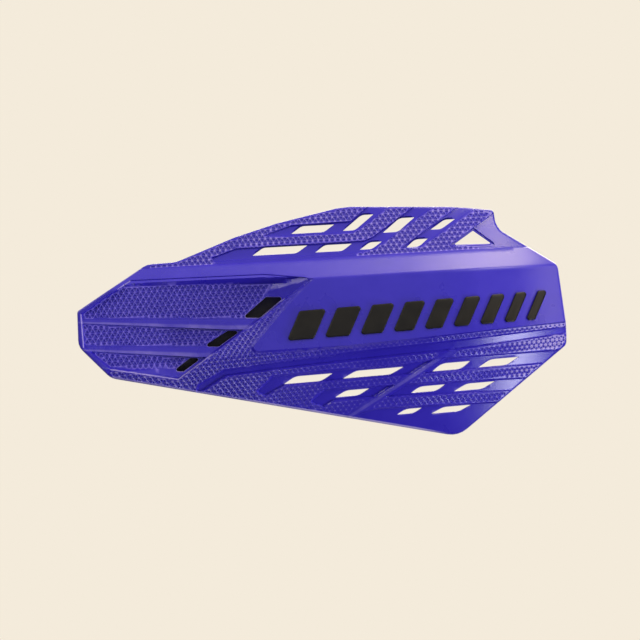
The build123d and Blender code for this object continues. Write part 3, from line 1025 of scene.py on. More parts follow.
    def forward(self, x: Array) -> Array:
        """Reach of the ridge ahead of the bar: a flat arc, a tighter one, then a straight run.

        The flat arc falls by its radius less the root of radius squared less run
        squared. The tighter one starts at the slope where that ends, and the
        straight run keeps the slope where the tighter one ends.

        Args:
            x: Places along the bar.

        Returns:
            The reach at each place.
        """
        flat = np.minimum(x, self.tip_start) - self.crown_x
        reach = self.ridge_reach - self.main_radius + np.sqrt(self.main_radius ** 2 - flat ** 2)
        turn = np.arcsin((self.tip_start - self.crown_x) / self.main_radius)
        across = np.maximum(x - self.tip_start, 0) + self.tip_radius * np.sin(turn)
        bent = np.minimum(across, self.tip_radius * np.sin(self.tip_turn))
        fall = np.sqrt(self.tip_radius ** 2 - bent ** 2) - self.tip_radius * np.cos(turn)
        return reach + fall - (across - bent) * np.tan(self.tip_turn)

    def crease(self, line: Span, x: Array) -> Array:
        """Height of a crease that rises evenly outboard."""
        return line[0] + line[1] * x

    def creases(self, x: Array) -> Array:
        """Heights of the brow, ridge and chin."""
        return np.array([self.crease(line, x) for line in (self.brow, self.ridge, self.chin)])

    def slopes(self, x: Array) -> Array:
        """Fall of the four faces for each millimetre of height.

        Args:
            x: Places along the bar.

        Returns:
            A row each for the top, the strip, the smooth field and the low face.
        """
        brow, ridge, chin = self.creases(x)
        top = (self.top_drop - self.brow_drop) / (self.top_height - brow)
        low = -(self.chin_lead + self.bottom_drop) / (chin - self.bottom_height)
        return np.array([top, self.brow_drop / (brow - ridge), -self.chin_lead / (chin - ridge), low])

    def growths(self, x: Array) -> Array:
        """Growth along Y of a depth square to each of the four faces, with the bend taken over 1 mm."""
        bend = self.forward(x + 0.5) - self.forward(x - 0.5)
        return np.sqrt(1 + bend ** 2) * np.sqrt(1 + self.slopes(x) ** 2)

    def creases_behind(self, x: Array) -> Array:
        """Heights of the creases on the back, where the faces meet when set back by the wall."""
        slopes, growths = self.slopes(x), self.growths(x)
        return self.creases(x) + self.wall * np.diff(-growths, axis=0) / np.diff(slopes, axis=0)

    def plain(self, at: Array, depth: float = 0.0) -> tuple[Array, Array]:
        """Plain front face before any relief, or a face that lies an even depth behind it.

        Four flat faces in section, each carried along the reach of the ridge. The
        ridge is eased by a smooth minimum of the two faces that meet there, and so
        is the front's chin beside the panel.

        Args:
            at: x and z of the points.
            depth: How far each face is set back, square to itself.

        Returns:
            The reach ahead of the bar, and the growth along Y of a depth that is
            measured square to the face.
        """
        x, z = at.T
        reach, growths = self.forward(x), self.growths(x)
        brow, ridge, chin = self.creases(x)
        starts = np.array([reach - self.brow_drop, reach, reach, reach + self.chin_lead])
        falls = (z - np.array([brow, ridge, ridge, chin])) * self.slopes(x)
        top, strip, smooth, low = starts - falls - depth * growths
        soft = np.maximum(self.ridge_soft - np.abs(strip - smooth), 0) ** 2 / (4 * self.ridge_soft)
        middle = np.minimum(strip, smooth) - soft
        easing = read_off(self.chin_soft, x) if depth == 0 else self.chin_soft[-1][1]
        low = np.minimum(middle, low) - np.maximum(easing - np.abs(middle - low), 0) ** 2 / (4 * easing)
        face = np.where(z > ridge, np.maximum(top, middle), low)
        return face, np.select([z > brow, z > ridge, z > chin], growths[:3], growths[3])

    def relief(self, at: Array) -> Array:
        """Depth of the front face under the plain one: pads, band, channels, bead, vent hoods and groove.

        The pads step down over bevels, channels and bead blend from there to depths
        of their own, and the hoods and the groove add to what they cross.

        Args:
            at: x and z of the points.

        Returns:
            The depth at each point, square to the face.
        """
        x, z = at.T
        brow, _, chin = self.creases(x)
        steps = [
            ease(z - brow, 0.0, self.brow_bevel),
            ease((chin - z) / self.bevel(x), 0.0, 1.0),
            ease(inside(self.band_edge, at), 0.0, self.band_bevel),
        ]
        depth = self.pad_step * np.max(steps, axis=0)
        for channel, half in self.channels:
            share = ease(inside(channel, at), -half, half)
            depth += (self.pad_step + self.channel_depth - depth) * share
        depth += (self.pad_step - self.bead_height - depth) * self.crown(at)
        for hood in self.hoods:
            depth += np.clip(self.hood_slope * inside(hood, at), 0.0, self.hood_depth)
        off = self.side_of(self.corner_groove, at) / self.groove_width
        return depth + self.groove_depth * ease(off, 0.5, self.groove_flat)

    def crown(self, at: Array) -> Array:
        """Section of the bead, as a smooth step across each side.

        Args:
            at: x and z of the points.

        Returns:
            1 on the middle line, easing to 0 at the sides and towards the upper end.
        """
        share = ease(self.side_of(self.bead, at) / self.bead_width, 0.5, self.bead_flat)
        end = np.linalg.norm(at - np.array(self.bead[0]), axis=1)
        return share ** 2 * (3 - 2 * share) * ease(end, 0.0, self.bead_fade)

    def bevel(self, x: Array) -> Array:
        """Width of the bevel under the chin, which narrows outboard."""
        return read_off(self.chin_bevel, x)

    def side_of(self, line: Corners, at: Array) -> Array:
        """Distance of points from a straight line between two ends.

        Args:
            line: x and z of both ends.
            at: x and z of the points.

        Returns:
            The distance of each point from the nearest place on the line.
        """
        start, end = np.array(line)
        share = np.clip((at - start) @ (end - start) / ((end - start) ** 2).sum(), 0, 1)
        return np.linalg.norm(at - start - share[:, None] * (end - start), axis=1)

    def panel(self, at: Array, skin: Array) -> Array:
        """Reach of the sunk panel: floor, sloping top wall, two-faced ramp, leaning sides and wedge ribs.

        It is the highest of them at each point, and never above the skin.

        Args:
            at: x and z of the points.
            skin: Reach of the front face there, which the panel stays under.

        Returns:
            The reach inside the panel's mouth, and the skin outside it.
        """
        reach = np.maximum(self.floor_reach + self.rise(at), self.banks(at))
        for share in self.wall_shares(at):
            reach = np.maximum(reach, skin - (skin - self.floor_reach) * np.clip(share, 0.0, 1.0))
        return np.where(inside(self.mouth, at) > -CLOSE, np.minimum(reach, skin), skin)

    def top_edge(self, x: Array) -> tuple[Array, Array]:
        """Upper edge of the panel's top wall, straight between two corners of its mouth.

        Args:
            x: Places along the bar.

        Returns:
            The height and the reach of the edge at each place.
        """
        (x0, z0), (x1, z1) = self.tray[1], self.tray[2]
        share = (x - x0) / (x1 - x0)
        start, end = self.forward(np.array([x0, x1]))
        return z0 + (z1 - z0) * share, start + (end - start) * share

    def banks(self, at: Array) -> Array:
        """Reach of the panel's sloping top wall and two-faced ramp, which rise out of its floor.

        The wall falls evenly from its upper edge, and the ramp is the lower of two
        planes that meet in a line to its tip.

        Args:
            at: x and z of the points.

        Returns:
            The higher of both at each point, also where they run on below the floor.
        """
        x, z = at.T
        height, reach = self.top_edge(x)
        wall = reach - self.tray_slope * (height - z)
        tip = (*self.tray[3], self.forward(self.tray[3][0]))
        lip = (*self.ramp_foot[0], self.floor_reach + self.ramp_lip)
        ramp = self.plane(at, lip, (*self.ramp_foot[1], self.floor_reach), tip)
        streak = self.plane(at, lip, (*self.ramp_top, self.floor_reach), tip)
        return np.maximum(wall, np.minimum(ramp, streak))

    def wall_shares(self, at: Array) -> list[Array]:
        """How far across each side wall of the panel points lie.

        It is the distance in from the mouth's side over the wall's width, which
        changes evenly along the side.

        Args:
            at: x and z of the points.

        Returns:
            For each side, 0 at the mouth and 1 where the wall meets the floor.
        """
        shares = []
        for start, end, widths in zip(np.array(self.tray), np.roll(self.tray, -1, 0), self.tray_walls):
            run = end - start
            along = np.clip((at - start) @ run / (run @ run), 0, 1)
            width = widths[0] + (widths[1] - widths[0]) * along
            shares.append((at - start) @ np.array([run[1], -run[0]]) / np.linalg.norm(run) / width)
        return shares

    def plane(self, at: Array, *corners: Sequence[float]) -> Array:
        """Reach of the plane through three places.

        Args:
            at: x and z of the points.
            *corners: x, z and reach of each place.

        Returns:
            The reach at each point.
        """
        rows = np.array(corners)
        a, b, c = np.linalg.solve(np.column_stack([rows[:, :2], np.ones(3)]), rows[:, 2])
        return a * at[:, 0] + b * at[:, 1] + c

    def rise(self, at: Array) -> Array:
        """Height of the ribs over the panel's floor.

        A rib starts in a groove along its upper edge, rises evenly to its lower
        edge and drops back to the floor there.

        Args:
            at: x and z of the points.

        Returns:
            The height at each point, negative in the grooves.
        """
        z = at[:, 1]
        height = np.zeros(len(at))
        for rib, edge in zip(self.ribs, self.rib_edges):
            top, foot = rib[0][1], rib[2][1]
            depth = inside(edge, at)
            wedge = self.rib_height * (top - z) / (top - foot) * ease(depth, 0.0, self.rib_side)
            groove = self.rib_groove * (1 - ease(np.abs(top - z), 0.0, self.groove_reach))
            height += wedge - groove * ease(depth, *self.groove_ends)
        return height

    def rim(self, at: Array) -> tuple[Array, Array]:
        """Distance of points from the outer edge and from the nearest opening."""
        opening = np.max([inside(shape, at, self.opening_reach) for shape in self.openings], axis=0)
        return np.maximum(inside(self.edge, at), 0), np.maximum(-opening, 0)

    def fillet(self, gap: Array, radius: float) -> Array:
        """Drop of a quarter round at a gap from its edge: its radius less the height of its circle there."""
        short = np.maximum(radius - gap, 0)
        return radius - np.sqrt(np.maximum(radius ** 2 - short ** 2, 0))

    def front(self, at: Array) -> Array:
        """Front face with relief, panel, texture and rounded edges.

        What is taken off square to the face counts along Y by the growth there.

        Args:
            at: x and z of the points.

        Returns:
            The reach ahead of the bar at each point.
        """
        face, lean = self.plain(at)
        lip = self.fillet(np.maximum(-inside(self.mouth, at), 0), self.mouth_round)
        skin = face - (self.relief(at) + lip) * lean
        reach = self.panel(at, skin) - self.knurl_depth * self.wear(at) * self.texture(at) * lean
        outer, opening = self.rim(at)
        drop = self.fillet(outer, self.edge_round) + self.fillet(opening, self.vent_round)
        return reach - drop * lean

    def back(self, at: Array) -> Array:
        """Back face: the wall, the panel's box, and the hexagon bosses with their sockets.

        Each form is blended over the one before it by a steep ramp at its outline.

        Args:
            at: x and z of the points.

        Returns:
            The reach ahead of the bar at each point.
        """
        reach, lean = self.plain(at, self.wall)
        box = ease(inside(self.backing, at), 0.0, self.box_side)
        reach += np.minimum(self.floor_back - reach, 0) * box
        for boss, socket in zip(self.bosses, self.sockets):
            on_boss = ease(inside(boss, at), -self.boss_side, self.boss_side)
            reach += (self.boss_reach - reach) * on_boss
            in_socket = ease(inside(socket, at), -self.insert_side, self.insert_side)
            reach += (self.insert_end - reach) * in_socket
        outer, opening = self.rim(at)
        return reach + self.fillet(np.minimum(outer, opening), self.back_round) * lean

    def knurled(self, at: Array) -> Array:
        """Distance of points from the border of the textured areas.

        Pads and floor are joined by the greater of their distances, and channels,
        hoods, bead, ribs and rounded edges are taken out of them by the lesser.

        Args:
            at: x and z of the points.

        Returns:
            The distance at each point, positive in a textured area.
        """
        x, z = at.T
        brow, _, chin = self.creases(x)
        pads = np.maximum(z - brow - self.brow_bevel, chin - z - self.bevel(x))
        pads = np.maximum(pads, inside(self.band_edge, at) - self.band_bevel)
        mouth = inside(self.mouth, at)
        floor = np.minimum(mouth, (self.floor_reach - self.banks(at)) / self.tray_slope)
        for share, widths in zip(self.wall_shares(at), self.tray_walls):
            floor = np.minimum(floor, (share - 1) * min(widths))
        for edge in self.rib_edges:
            floor = np.minimum(floor, -inside(edge, at) - self.groove_reach)
        area = np.maximum(np.minimum(pads, -mouth - self.mouth_round), floor)
        for channel, half in self.channels:
            area = np.minimum(area, -inside(channel, at) - half)
        for hood in self.hoods:
            area = np.minimum(area, -inside(hood, at))
        area = np.minimum(area, self.side_of(self.bead, at) - self.bead_width / 2)
        outer, opening = self.rim(at)
        return np.minimum(area, np.minimum(outer - self.edge_round, opening - self.vent_round))

    def area(self, at: Array) -> Array:
        """Number of the textured area that points belong to."""
        above = at[:, 1] > self.crease(self.brow, at[:, 0])
        return np.where(above, Area.UPPER, np.where(inside(self.mouth, at) > 0, Area.PANEL, Area.LOWER))

    def lattice(self, row: Array, column: Array, area: Area) -> Array:
        """Places of a texture's lattice, laid out evenly on the face that carries it.

        Rows lie the height of an even triangle apart, each half a pitch out of step
        with the last. A row follows the area's base line, and columns follow the
        bend of the guard in plan, except on the flat floor of the panel.

        Args:
            row: Rows, which may be fractions.
            column: Columns, which may be fractions.
            area: The textured area.

        Returns:
            x and z of each place.
        """
        height, rise, growth = self.knurl_bases[area]
        x = self.knurl_pitch * (column + 0.5 * row)
        if area is not Area.PANEL:
            x = np.interp(x + self.plan_length[0], self.plan_length, self.plan_x)
        return np.stack([x, height + rise * x + self.knurl_pitch * EVEN_HEIGHT * row / growth], -1)

    def lattice_place(self, at: Array, area: Area) -> tuple[Array, Array]:
        """Row and column of points in a texture's lattice: the lattice's formula turned round.

        Args:
            at: x and z of the points.
            area: The textured area.

        Returns:
            Rows and columns, with fractions.
        """
        height, rise, growth = self.knurl_bases[area]
        x, z = at.T
        row = (z - height - rise * x) * growth / (self.knurl_pitch * EVEN_HEIGHT)
        along = x if area is Area.PANEL else np.interp(x, self.plan_x, self.plan_length)
        return row, along / self.knurl_pitch - 0.5 * row

    def texture_cells(self, area: Area) -> tuple[Array, Array]:
        """Lattice triangles whose middle lies in a textured area.

        The middle of an upright triangle lies a third of the way along row and
        column, and that of a hanging one two thirds.

        Args:
            area: The textured area.

        Returns:
            Flags by kind of triangle, row and column, and the row and column of the
            first entry.
        """
        rows, columns = self.lattice_place(self.edge, area)
        low = np.floor([rows.min(), columns.min()]).astype(int) - 1
        high = np.ceil([rows.max(), columns.max()]).astype(int) + 1
        r, c = np.meshgrid(np.arange(low[0], high[0]), np.arange(low[1], high[1]), indexing="ij")
        flags = []
        for third in (1 / 3, 2 / 3):
            spots = self.lattice(r + third, c + third, area).reshape(-1, 2)
            fits = (self.knurled(spots) > self.knurl_margin) & (self.area(spots) == area)
            flags.append(fits.reshape(r.shape))
        return np.array(flags), low

    def fits(self, area: Area, kind: Union[Kind, Array], row: Array, column: Array) -> Array:
        """Whether triangles of a lattice are textured.

        Args:
            area: The textured area.
            kind: Kind of the triangles, or of each of them.
            row: Their whole rows.
            column: Their whole columns.

        Returns:
            One flag for each triangle.
        """
        flags, first = self.cells[area]
        row = np.clip(row - first[0], 0, flags.shape[1] - 1)
        column = np.clip(column - first[1], 0, flags.shape[2] - 1)
        return flags[kind, row, column]

    def texture(self, at: Array) -> Array:
        """Sunkness of the texture.

        With u and v the lattice coordinates inside a cell, an upright triangle is a
        pit in u and v, and a hanging one is a pit in 1 - u and 1 - v. The texture
        fades out towards the area's border.

        Args:
            at: x and z of the points.

        Returns:
            From 0 on the lattice lines to 1 in the middle of a triangle.
        """
        sunk = np.zeros(len(at))
        areas = self.area(at)
        for area in self.cells:
            row, column = self.lattice_place(at, area)
            r = np.floor(row + self.knurl_slack).astype(int)
            c = np.floor(column + self.knurl_slack).astype(int)
            u, v = column - c, row - r
            upright = self.pit(u, v) * self.fits(area, Kind.UPRIGHT, r, c)
            hanging = self.pit(1 - u, 1 - v) * self.fits(area, Kind.HANGING, r, c)
            sunk += (areas == area) * np.maximum(upright, hanging)
        return sunk * ease(self.knurled(at), 0.0, self.knurl_fade)

    def nodes(self, at: Array) -> Array:
        """Nearness of points to the lattice's corners.

        It is twice the greatest of the three coordinates in the triangle, less 1.

        Args:
            at: x and z of the points.

        Returns:
            1 on a corner, and 0 half way along a side.
        """
        near = np.zeros(len(at))
        areas = self.area(at)
        for area in self.cells:
            row, column = self.lattice_place(at, area)
            u, v = column % 1, row % 1
            upright = np.maximum(np.maximum(u, v), 1 - u - v)
            hanging = np.maximum(np.maximum(1 - u, 1 - v), u + v - 1)
            near += (areas == area) * np.where(u + v < 1, upright, hanging)
        return np.clip(2 * near - 1, 0.0, 1.0)

    def pit(self, u: Array, v: Array) -> Array:
        """Sunkness of one triangle of the texture.

        It goes with the least of u, v and w = 1 - u - v, which is 1/3 in the middle.
        The level side, where v is 0, dips a little half way between its corners, and
        the dip dies away towards the middle of the triangle.

        Args:
            u: Coordinate along the level side.
            v: Coordinate away from it.

        Returns:
            0 outside the triangle and along two of its sides, and 1 in its middle.
        """
        side = np.minimum(u, 1 - u - v)
        least = np.minimum(side, v)
        depth = 3 * np.maximum(least, 0) + 2 * self.knurl_dip * np.maximum(side - v, 0)
        return np.where(least > -CLOSE, depth, 0.0)

    def wear(self, at: Array) -> Array:
        """Strength of the texture: full above and on the panel, and by a table along x below the chin."""
        return np.where(self.area(at) == Area.LOWER, read_off(self.knurl_wear, at[:, 0]), 1.0)

    def covered(self, at: Array) -> Array:
        """Whether points have texture round them, tried a short way off in six directions.

        Args:
            at: x and z of the points.

        Returns:
            1 where a textured triangle lies at a point or beside it, and 0 elsewhere.
        """
        found = np.zeros(len(at))
        areas = self.area(at)
        for area in self.cells:
            row, column = self.lattice_place(at, area)
            for angle in np.arange(6) * pi / 3 + self.search_turn:
                v = row + self.search_reach * np.sin(angle)
                u = column + self.search_reach * np.cos(angle)
                r, c = np.floor(v).astype(int), np.floor(u).astype(int)
                kind = np.where(u - c + v - r > 1, Kind.HANGING, Kind.UPRIGHT)
                found = np.maximum(found, self.fits(area, kind, r, c) * (areas == area))
        return found * (self.knurled(at) > -self.border_slack)

    def plan(self) -> Plan:
        """Lines and points of the front view: every edge, crease, fillet and textured triangle.

        Returns:
            The plan, ready for its triangles.
        """
        plan = Plan()
        for share in 1 - np.cos(np.linspace(0, pi / 2, self.round_steps)):
            plan.add_line(beside(self.edge, -share * self.edge_round), self.line_step)
            for shape in self.openings:
                plan.add_line(beside(shape, share * self.vent_round), self.line_step)
        plan.add_line(beside(self.edge, -self.sill_width), self.line_step)
        for hood in self.hoods:
            plan.add_line(hood, self.line_step)
        for shape, half in self.channels:
            plan.add_line(beside(shape, half), self.line_step)
            plan.add_line(beside(shape, -half), self.line_step)
        plan.add_line(self.band_edge, self.line_step)
        plan.add_line(beside(self.band_edge, -self.band_bevel), self.line_step)
        self.plan_creases(plan)
        self.plan_panel(plan)
        self.plan_bead(plan)
        self.plan_texture(plan)
        self.plan_fill(plan)
        return plan

    def plan_creases(self, plan: Plan) -> None:
        """Adds the creases of front and back and the bevels of the front, except across the panel.

        Args:
            plan: Plan to draw in.
        """
        x = self.along(self.crease_margin, self.crease_samples)
        brow, ridge, chin = self.creases(x)
        heights = [brow, brow + self.brow_bevel, chin, chin - self.bevel(x), *self.creases_behind(x)]
        heights += [ridge + share * self.ridge_soft for share in (-1.0, -0.5, 0.0, 0.5, 1.0)]
        for height in heights:
            points = np.stack([x, height], 1)
            clear = inside(self.mouth, points) < self.mouth_round
            cuts = np.flatnonzero(np.diff(clear)) + 1
            for run, kept in zip(np.split(points, cuts), np.split(clear, cuts)):
                if kept[0]:
                    plan.add_line(run, self.line_step, False)

    def plan_panel(self, plan: Plan) -> None:
        """Adds the panel's mouth, walls, ramp, ribs, box and bosses.

        Args:
            plan: Plan to draw in.
        """
        plan.add_line(self.mouth, self.line_step)
        for inset in self.mouth_insets:
            plan.add_line(beside(self.mouth, -inset), self.line_step)
        x = np.linspace(*self.top_wall_span, self.top_wall_samples)
        height, reach = self.top_edge(x)
        foot = height - (reach - self.floor_reach) / self.tray_slope
        plan.add_line(np.stack([x, foot], 1), self.line_step, False)
        lip, low = np.array(self.ramp_foot)
        top, tip = np.array(self.ramp_top), np.array(self.tray[3])
        below = low + self.ramp_overruns[0] * (low - lip)
        above = top + self.ramp_overruns[1] * (top - low)
        for line in ((below, lip), (lip, tip), (lip, top), (low, above)):
            plan.add_line(np.array(line), self.line_step, False)
        for start, end, widths in zip(np.array(self.tray), np.roll(self.tray, -1, 0), self.tray_walls):
            across = np.array([start[1] - end[1], end[0] - start[0]]) / np.linalg.norm(end - start)
            wall_foot = np.stack([start - widths[0] * across, end - widths[1] * across])
            plan.add_line(wall_foot, self.line_step, False)
        for rib, edge in zip(self.ribs, self.rib_edges):
            self.plan_rib(plan, rib, edge)
        plan.add_line(self.backing, self.line_step)
        plan.add_line(beside(self.backing, -self.box_side), self.line_step)
        for shape in (*self.bosses, *self.sockets):
            plan.add_line(beside(shape, self.boss_side), self.boss_step)
            plan.add_line(beside(shape, -self.boss_side), self.boss_step)

    def plan_rib(self, plan: Plan, rib: Corners, edge: Array) -> None:
        """Adds a rib: lines along its slope, its outline, and the foot of its drop and of its groove.

        Args:
            plan: Plan to draw in.
            rib: Corners of the rib, from its upper inboard one anticlockwise.
            edge: Its outline.
        """
        top = rib[0][1]
        foot = np.array([rib[1], rib[2], (rib[3][0], rib[2][1])])
        for share in self.rib_shares:
            heights = top + share * (foot[:, 1] - top)
            plan.add_line(np.column_stack([foot[:, 0], heights]), self.line_step, False)
        plan.add_line(edge, self.line_step)
        plan.add_line(beside(edge, -self.rib_side), self.line_step)
        plan.add_line(beside(edge, self.groove_reach), self.line_step)

    def plan_bead(self, plan: Plan) -> None:
        """Adds lines along the bead and along the groove beside the corner vent.

        Args:
            plan: Plan to draw in.
        """
        for line, width, shares in (
            (self.bead, self.bead_width, np.linspace(-0.5, 0.5, self.bead_lines)),
            (self.corner_groove, self.groove_width, self.groove_lines),
        ):
            start, end = np.array(line)
            along = (end - start) / np.linalg.norm(end - start)
            for share in shares:
                across = share * width * np.array([-along[1], along[0]])
                plan.add_line(np.stack([start, end]) + across, self.line_step, False)

    def plan_texture(self, plan: Plan) -> None:
        """Adds the textured triangles: sides in halves, and lines from corners and halves to the middle.

        Args:
            plan: Plan to draw in.
        """
        for area, (flags, first) in self.cells.items():
            for kind, steps in TRIANGLES.items():
                cells = np.argwhere(flags[kind])
                corners = np.stack([cells + np.array(step) for step in steps], 1).reshape(-1, 2)
                unique, numbers = np.unique(corners, axis=0, return_inverse=True)
                spots = self.lattice(*(unique + first).T, area)
                named = plan.add_points(spots)[numbers.reshape(-1, 3)]
                places = spots[numbers.reshape(-1, 3)]
                middles = plan.add_points(places.mean(1))
                for side in range(3):
                    start, end = named[:, side], named[:, side - 1]
                    halves = plan.add_points(0.5 * (places[:, side] + places[:, side - 1]))
                    for pair in ((start, halves), (halves, end), (start, middles), (halves, middles)):
                        plan.edges.append(np.stack(pair, 1))

    def plan_fill(self, plan: Plan) -> None:
        """Adds loose points to the smooth areas, in even rows that are half a step out of line.

        Args:
            plan: Plan to draw in.
        """
        low, high = self.edge.min(0), self.edge.max(0)
        columns, rows = [np.arange(low[k], high[k], self.fill_step) for k in (0, 1)]
        x, z = np.meshgrid(columns, rows)
        odd = np.arange(len(rows))[:, None] % 2
        at = np.stack([(x + 0.5 * self.fill_step * odd).ravel(), z.ravel()], 1)
        clear = inside(self.edge, at) - self.fill_from_edge
        clear = np.minimum(clear, -self.knurled(at) - self.fill_from_texture)
        channels = [channel for channel, _ in self.channels]
        for shape in (*self.openings, *channels, self.mouth, self.band_edge, *self.rib_edges, *self.bosses):
            clear = np.minimum(clear, np.abs(inside(shape, at)) - self.fill_from_line)
        for height in self.creases(at[:, 0]):
            clear = np.minimum(clear, np.abs(at[:, 1] - height) - self.fill_from_crease)
        plan.add_points(at[clear > 0])

    def marks(self, at: Array) -> dict[str, Array]:
        """Painted highlights and texture for the finish, on the front points and then on the back ones.

        Edges carry a painted highlight at their line that fades with the distance
        from it, in front and behind. Painted highlights in front alone lie on the
        bead, the lips, the ribs towards their lower edges, the sill along the
        shield's lower edge, and the lattice lines of the pads, most of all at the tip.

        Args:
            at: x and z of the points.

        Returns:
            The share of pale rim (painted highlight), of texture and of lattice line at each point.
        """
        x, z = at.T
        above, below = self.area(at) == Area.UPPER, self.area(at) == Area.LOWER
        outer, opening = self.rim(at)
        # Painted highlight along the outer edge and the openings, fading inwards; it is laid on the back
        # too.
        edge = self.edge_shine * np.exp(-np.minimum(outer / self.edge_fade, opening / self.opening_fade))
        edge *= np.where(above, self.upper_edge, 1.0)
        # Painted highlight along the bead's crest.
        rim = np.maximum(edge, self.bead_shine * self.crown(at))
        # Painted highlights along the listed lines of the mouth, channel ends and window.
        for lip in self.highlight_lines:
            rim = np.maximum(rim, np.exp(-self.side_of(lip, at) / self.lip_fade))
        # Painted sheen on each rib, from part way down to its lower edge.
        for rib, shape in zip(self.ribs, self.rib_edges):
            top, foot = rib[0][1], read_off(rib[1:3], x)
            share = ease((top - z) / (top - foot), *self.rib_shares[1:3])
            rim = np.maximum(rim, self.rib_shine * share * ease(inside(shape, at), 0.0, self.rib_lip))
        # Painted highlight on a narrow sill along the shield's lower edge.
        lower_edge = (self.outline[-2][:2], self.outline[-3][:2])
        sill = ease(self.side_of(lower_edge, at), self.sill_width, self.edge_round)
        rim = np.maximum(rim, sill * read_off(self.sill_shine, x))
        covered, nodes = self.covered(at), self.nodes(at)
        # Ridge share: where the lattice lines get their painted highlight, most at the corners.
        ridge = (1 - self.texture(at)) * (1 - self.line_highlight_fade * (1 - nodes))
        # Painted glints on the lattice, most at its corners and towards the tip.
        glint = below * read_off(self.lower_glint, x) + above * self.upper_glint
        spots = self.glint_least + (1 - self.glint_least) * nodes
        rim = np.maximum(rim, covered * glint * spots * ease(ridge, *self.glint_span))
        cover = np.where(above, self.upper_cover, np.where(below, self.lower_cover * self.wear(at), 1.0))
        plain = np.zeros(len(at))
        pairs = {"rim": (rim, edge), "textured": (covered * cover, plain), "ridge": (ridge, plain)}
        return {name: np.concatenate(pair) for name, pair in pairs.items()}

    def build(self) -> bpy.types.Object:
        """Builds the shield: one triangulation, raised to the front field and to the back field.

        Triangles outside the outline or in an opening are dropped, and the edges
        that then have one triangle are joined from front to back by a wall.

        Returns:
            The dressed shield.
        """
        at, triangles = self.plan().triangles()
        middle = at[triangles].mean(1)
        keep = inside(self.edge, middle) > 0
        for shape in self.openings:
            keep &= inside(shape, middle) < 0
        used, flat = np.unique(triangles[keep], return_inverse=True)
        at, triangles = at[used], flat.reshape(-1, 3)
        front = self.front(at)
        back = np.minimum(self.back(at), front - self.least_wall)
        points = np.vstack([np.column_stack([at[:, 0], -reach, at[:, 1]]) for reach in (front, back)])
        sides = np.vstack([triangles[:, [0, 1]], triangles[:, [1, 2]], triangles[:, [2, 0]]])
        codes = np.sort(sides, axis=1) @ np.array([len(at), 1])
        _, place, times = np.unique(codes, return_index=True, return_counts=True)
        start, end = sides[place[times == 1]].T
        walls = np.column_stack([start, start + len(at), end + len(at), end])
        faces = [triangles, triangles[:, ::-1] + len(at), walls]
        piece = write_mesh("moulded_shield", points, faces, self.sharp, **self.marks(at))
        return settle(piece, self.finish.material(), "shield_blue", "shield")


# Inlay bars


@dataclass
class InlayBars:
    """Row of slanted black bars on the smooth field, each narrower than the one before it."""

    shield: Shield
    count: int = 9
    first: float = 15.0
    shrink: float = 1.2
    space: float = 5.6
    tall: float = 16.5
    lean: float = 7.0
    start_x: float = 45.0
    start_z: float = -12.6
    rise: float = 0.085
    proud: float = 1.2
    seat: float = 0.68
    corner: float = 1.5
    edge_step: float = 1.2
    edge_round: float = 0.85
    round_steps: int = 6
    crown: float = 0.15
    crown_shares: Sequence[float] = (0.2, 0.45, 0.75, 0.97)
    base_share: float = 0.03
    sharp: float = 40.0
    finish: InlayRubber = InlayRubber()

    def outline(self, number: int) -> Array:
        """Outline of one bar, with rounded corners.

        It starts past the widths and spaces of the bars before it, its lower edge
        follows the rise of the row, and its upper edge is moved by lean and height.

        Args:
            number: Place of the bar in the row, from 0.

        Returns:
            Points of the outline, anticlockwise.
        """
        left = self.start_x + sum(self.first - self.shrink * i + self.space for i in range(number))
        right = left + self.first - self.shrink * number
        low = self.start_z + self.rise * (left - self.start_x) - self.tall / 2
        high = low + self.rise * (right - left)
        foot = np.array([(left, low), (right, high)])
        head = foot[::-1] + np.array([self.lean, self.tall])
        return divide(rounded(np.vstack([foot, head]), self.corner), self.edge_step)

    def build(self, number: int, material: bpy.types.Material) -> bpy.types.Object:
        """Builds one bar: rings drawn in from its outline, each at its own height over the shield.

        The profile starts small under the shield's face, goes out to the outline and
        up the side, round a quarter circle and over a low crown to the middle. The
        crown rises with the root of the share of the way in.

        Args:
            number: Place of the bar in the row, from 0.
            material: What it is made of.

        Returns:
            The dressed bar.
        """
        edge = self.outline(number)
        centre, inner = edge.mean(0), beside(edge, -self.edge_round)
        angles = np.linspace(0, pi / 2, self.round_steps)
        insets = np.concatenate([[0.0, 0.0], self.edge_round * (1 - np.cos(angles[1:]))])
        shares = np.array(self.crown_shares)
        rings = [centre + self.base_share * (edge - centre)]
        rings += [beside(edge, -inset) for inset in insets]
        rings += [inner + share * (centre - inner) for share in shares]
        side = self.proud - self.edge_round * (1 - np.sin(angles))
        heights = np.concatenate([[-self.seat] * 2, side, self.proud + self.crown * np.sqrt(shares)])
        at = np.vstack(rings)
        face, lean = self.shield.plain(at)
        points = np.column_stack([at[:, 0], -(face + np.repeat(heights, len(edge)) * lean), at[:, 1]])
        faces = [ring_faces(len(rings), len(edge)), *end_faces(len(rings), len(edge))]
        name = f"inlay_bar_{number + 1}"
        piece = write_mesh(f"rounded_{name}", points, faces, self.sharp)
        return settle(piece, material, "inlay_black", name)

    def build_all(self) -> None:
        """Builds every bar of the row."""
        material = self.finish.material()
        for number in range(self.count):
            self.build(number, material)


# Fixings


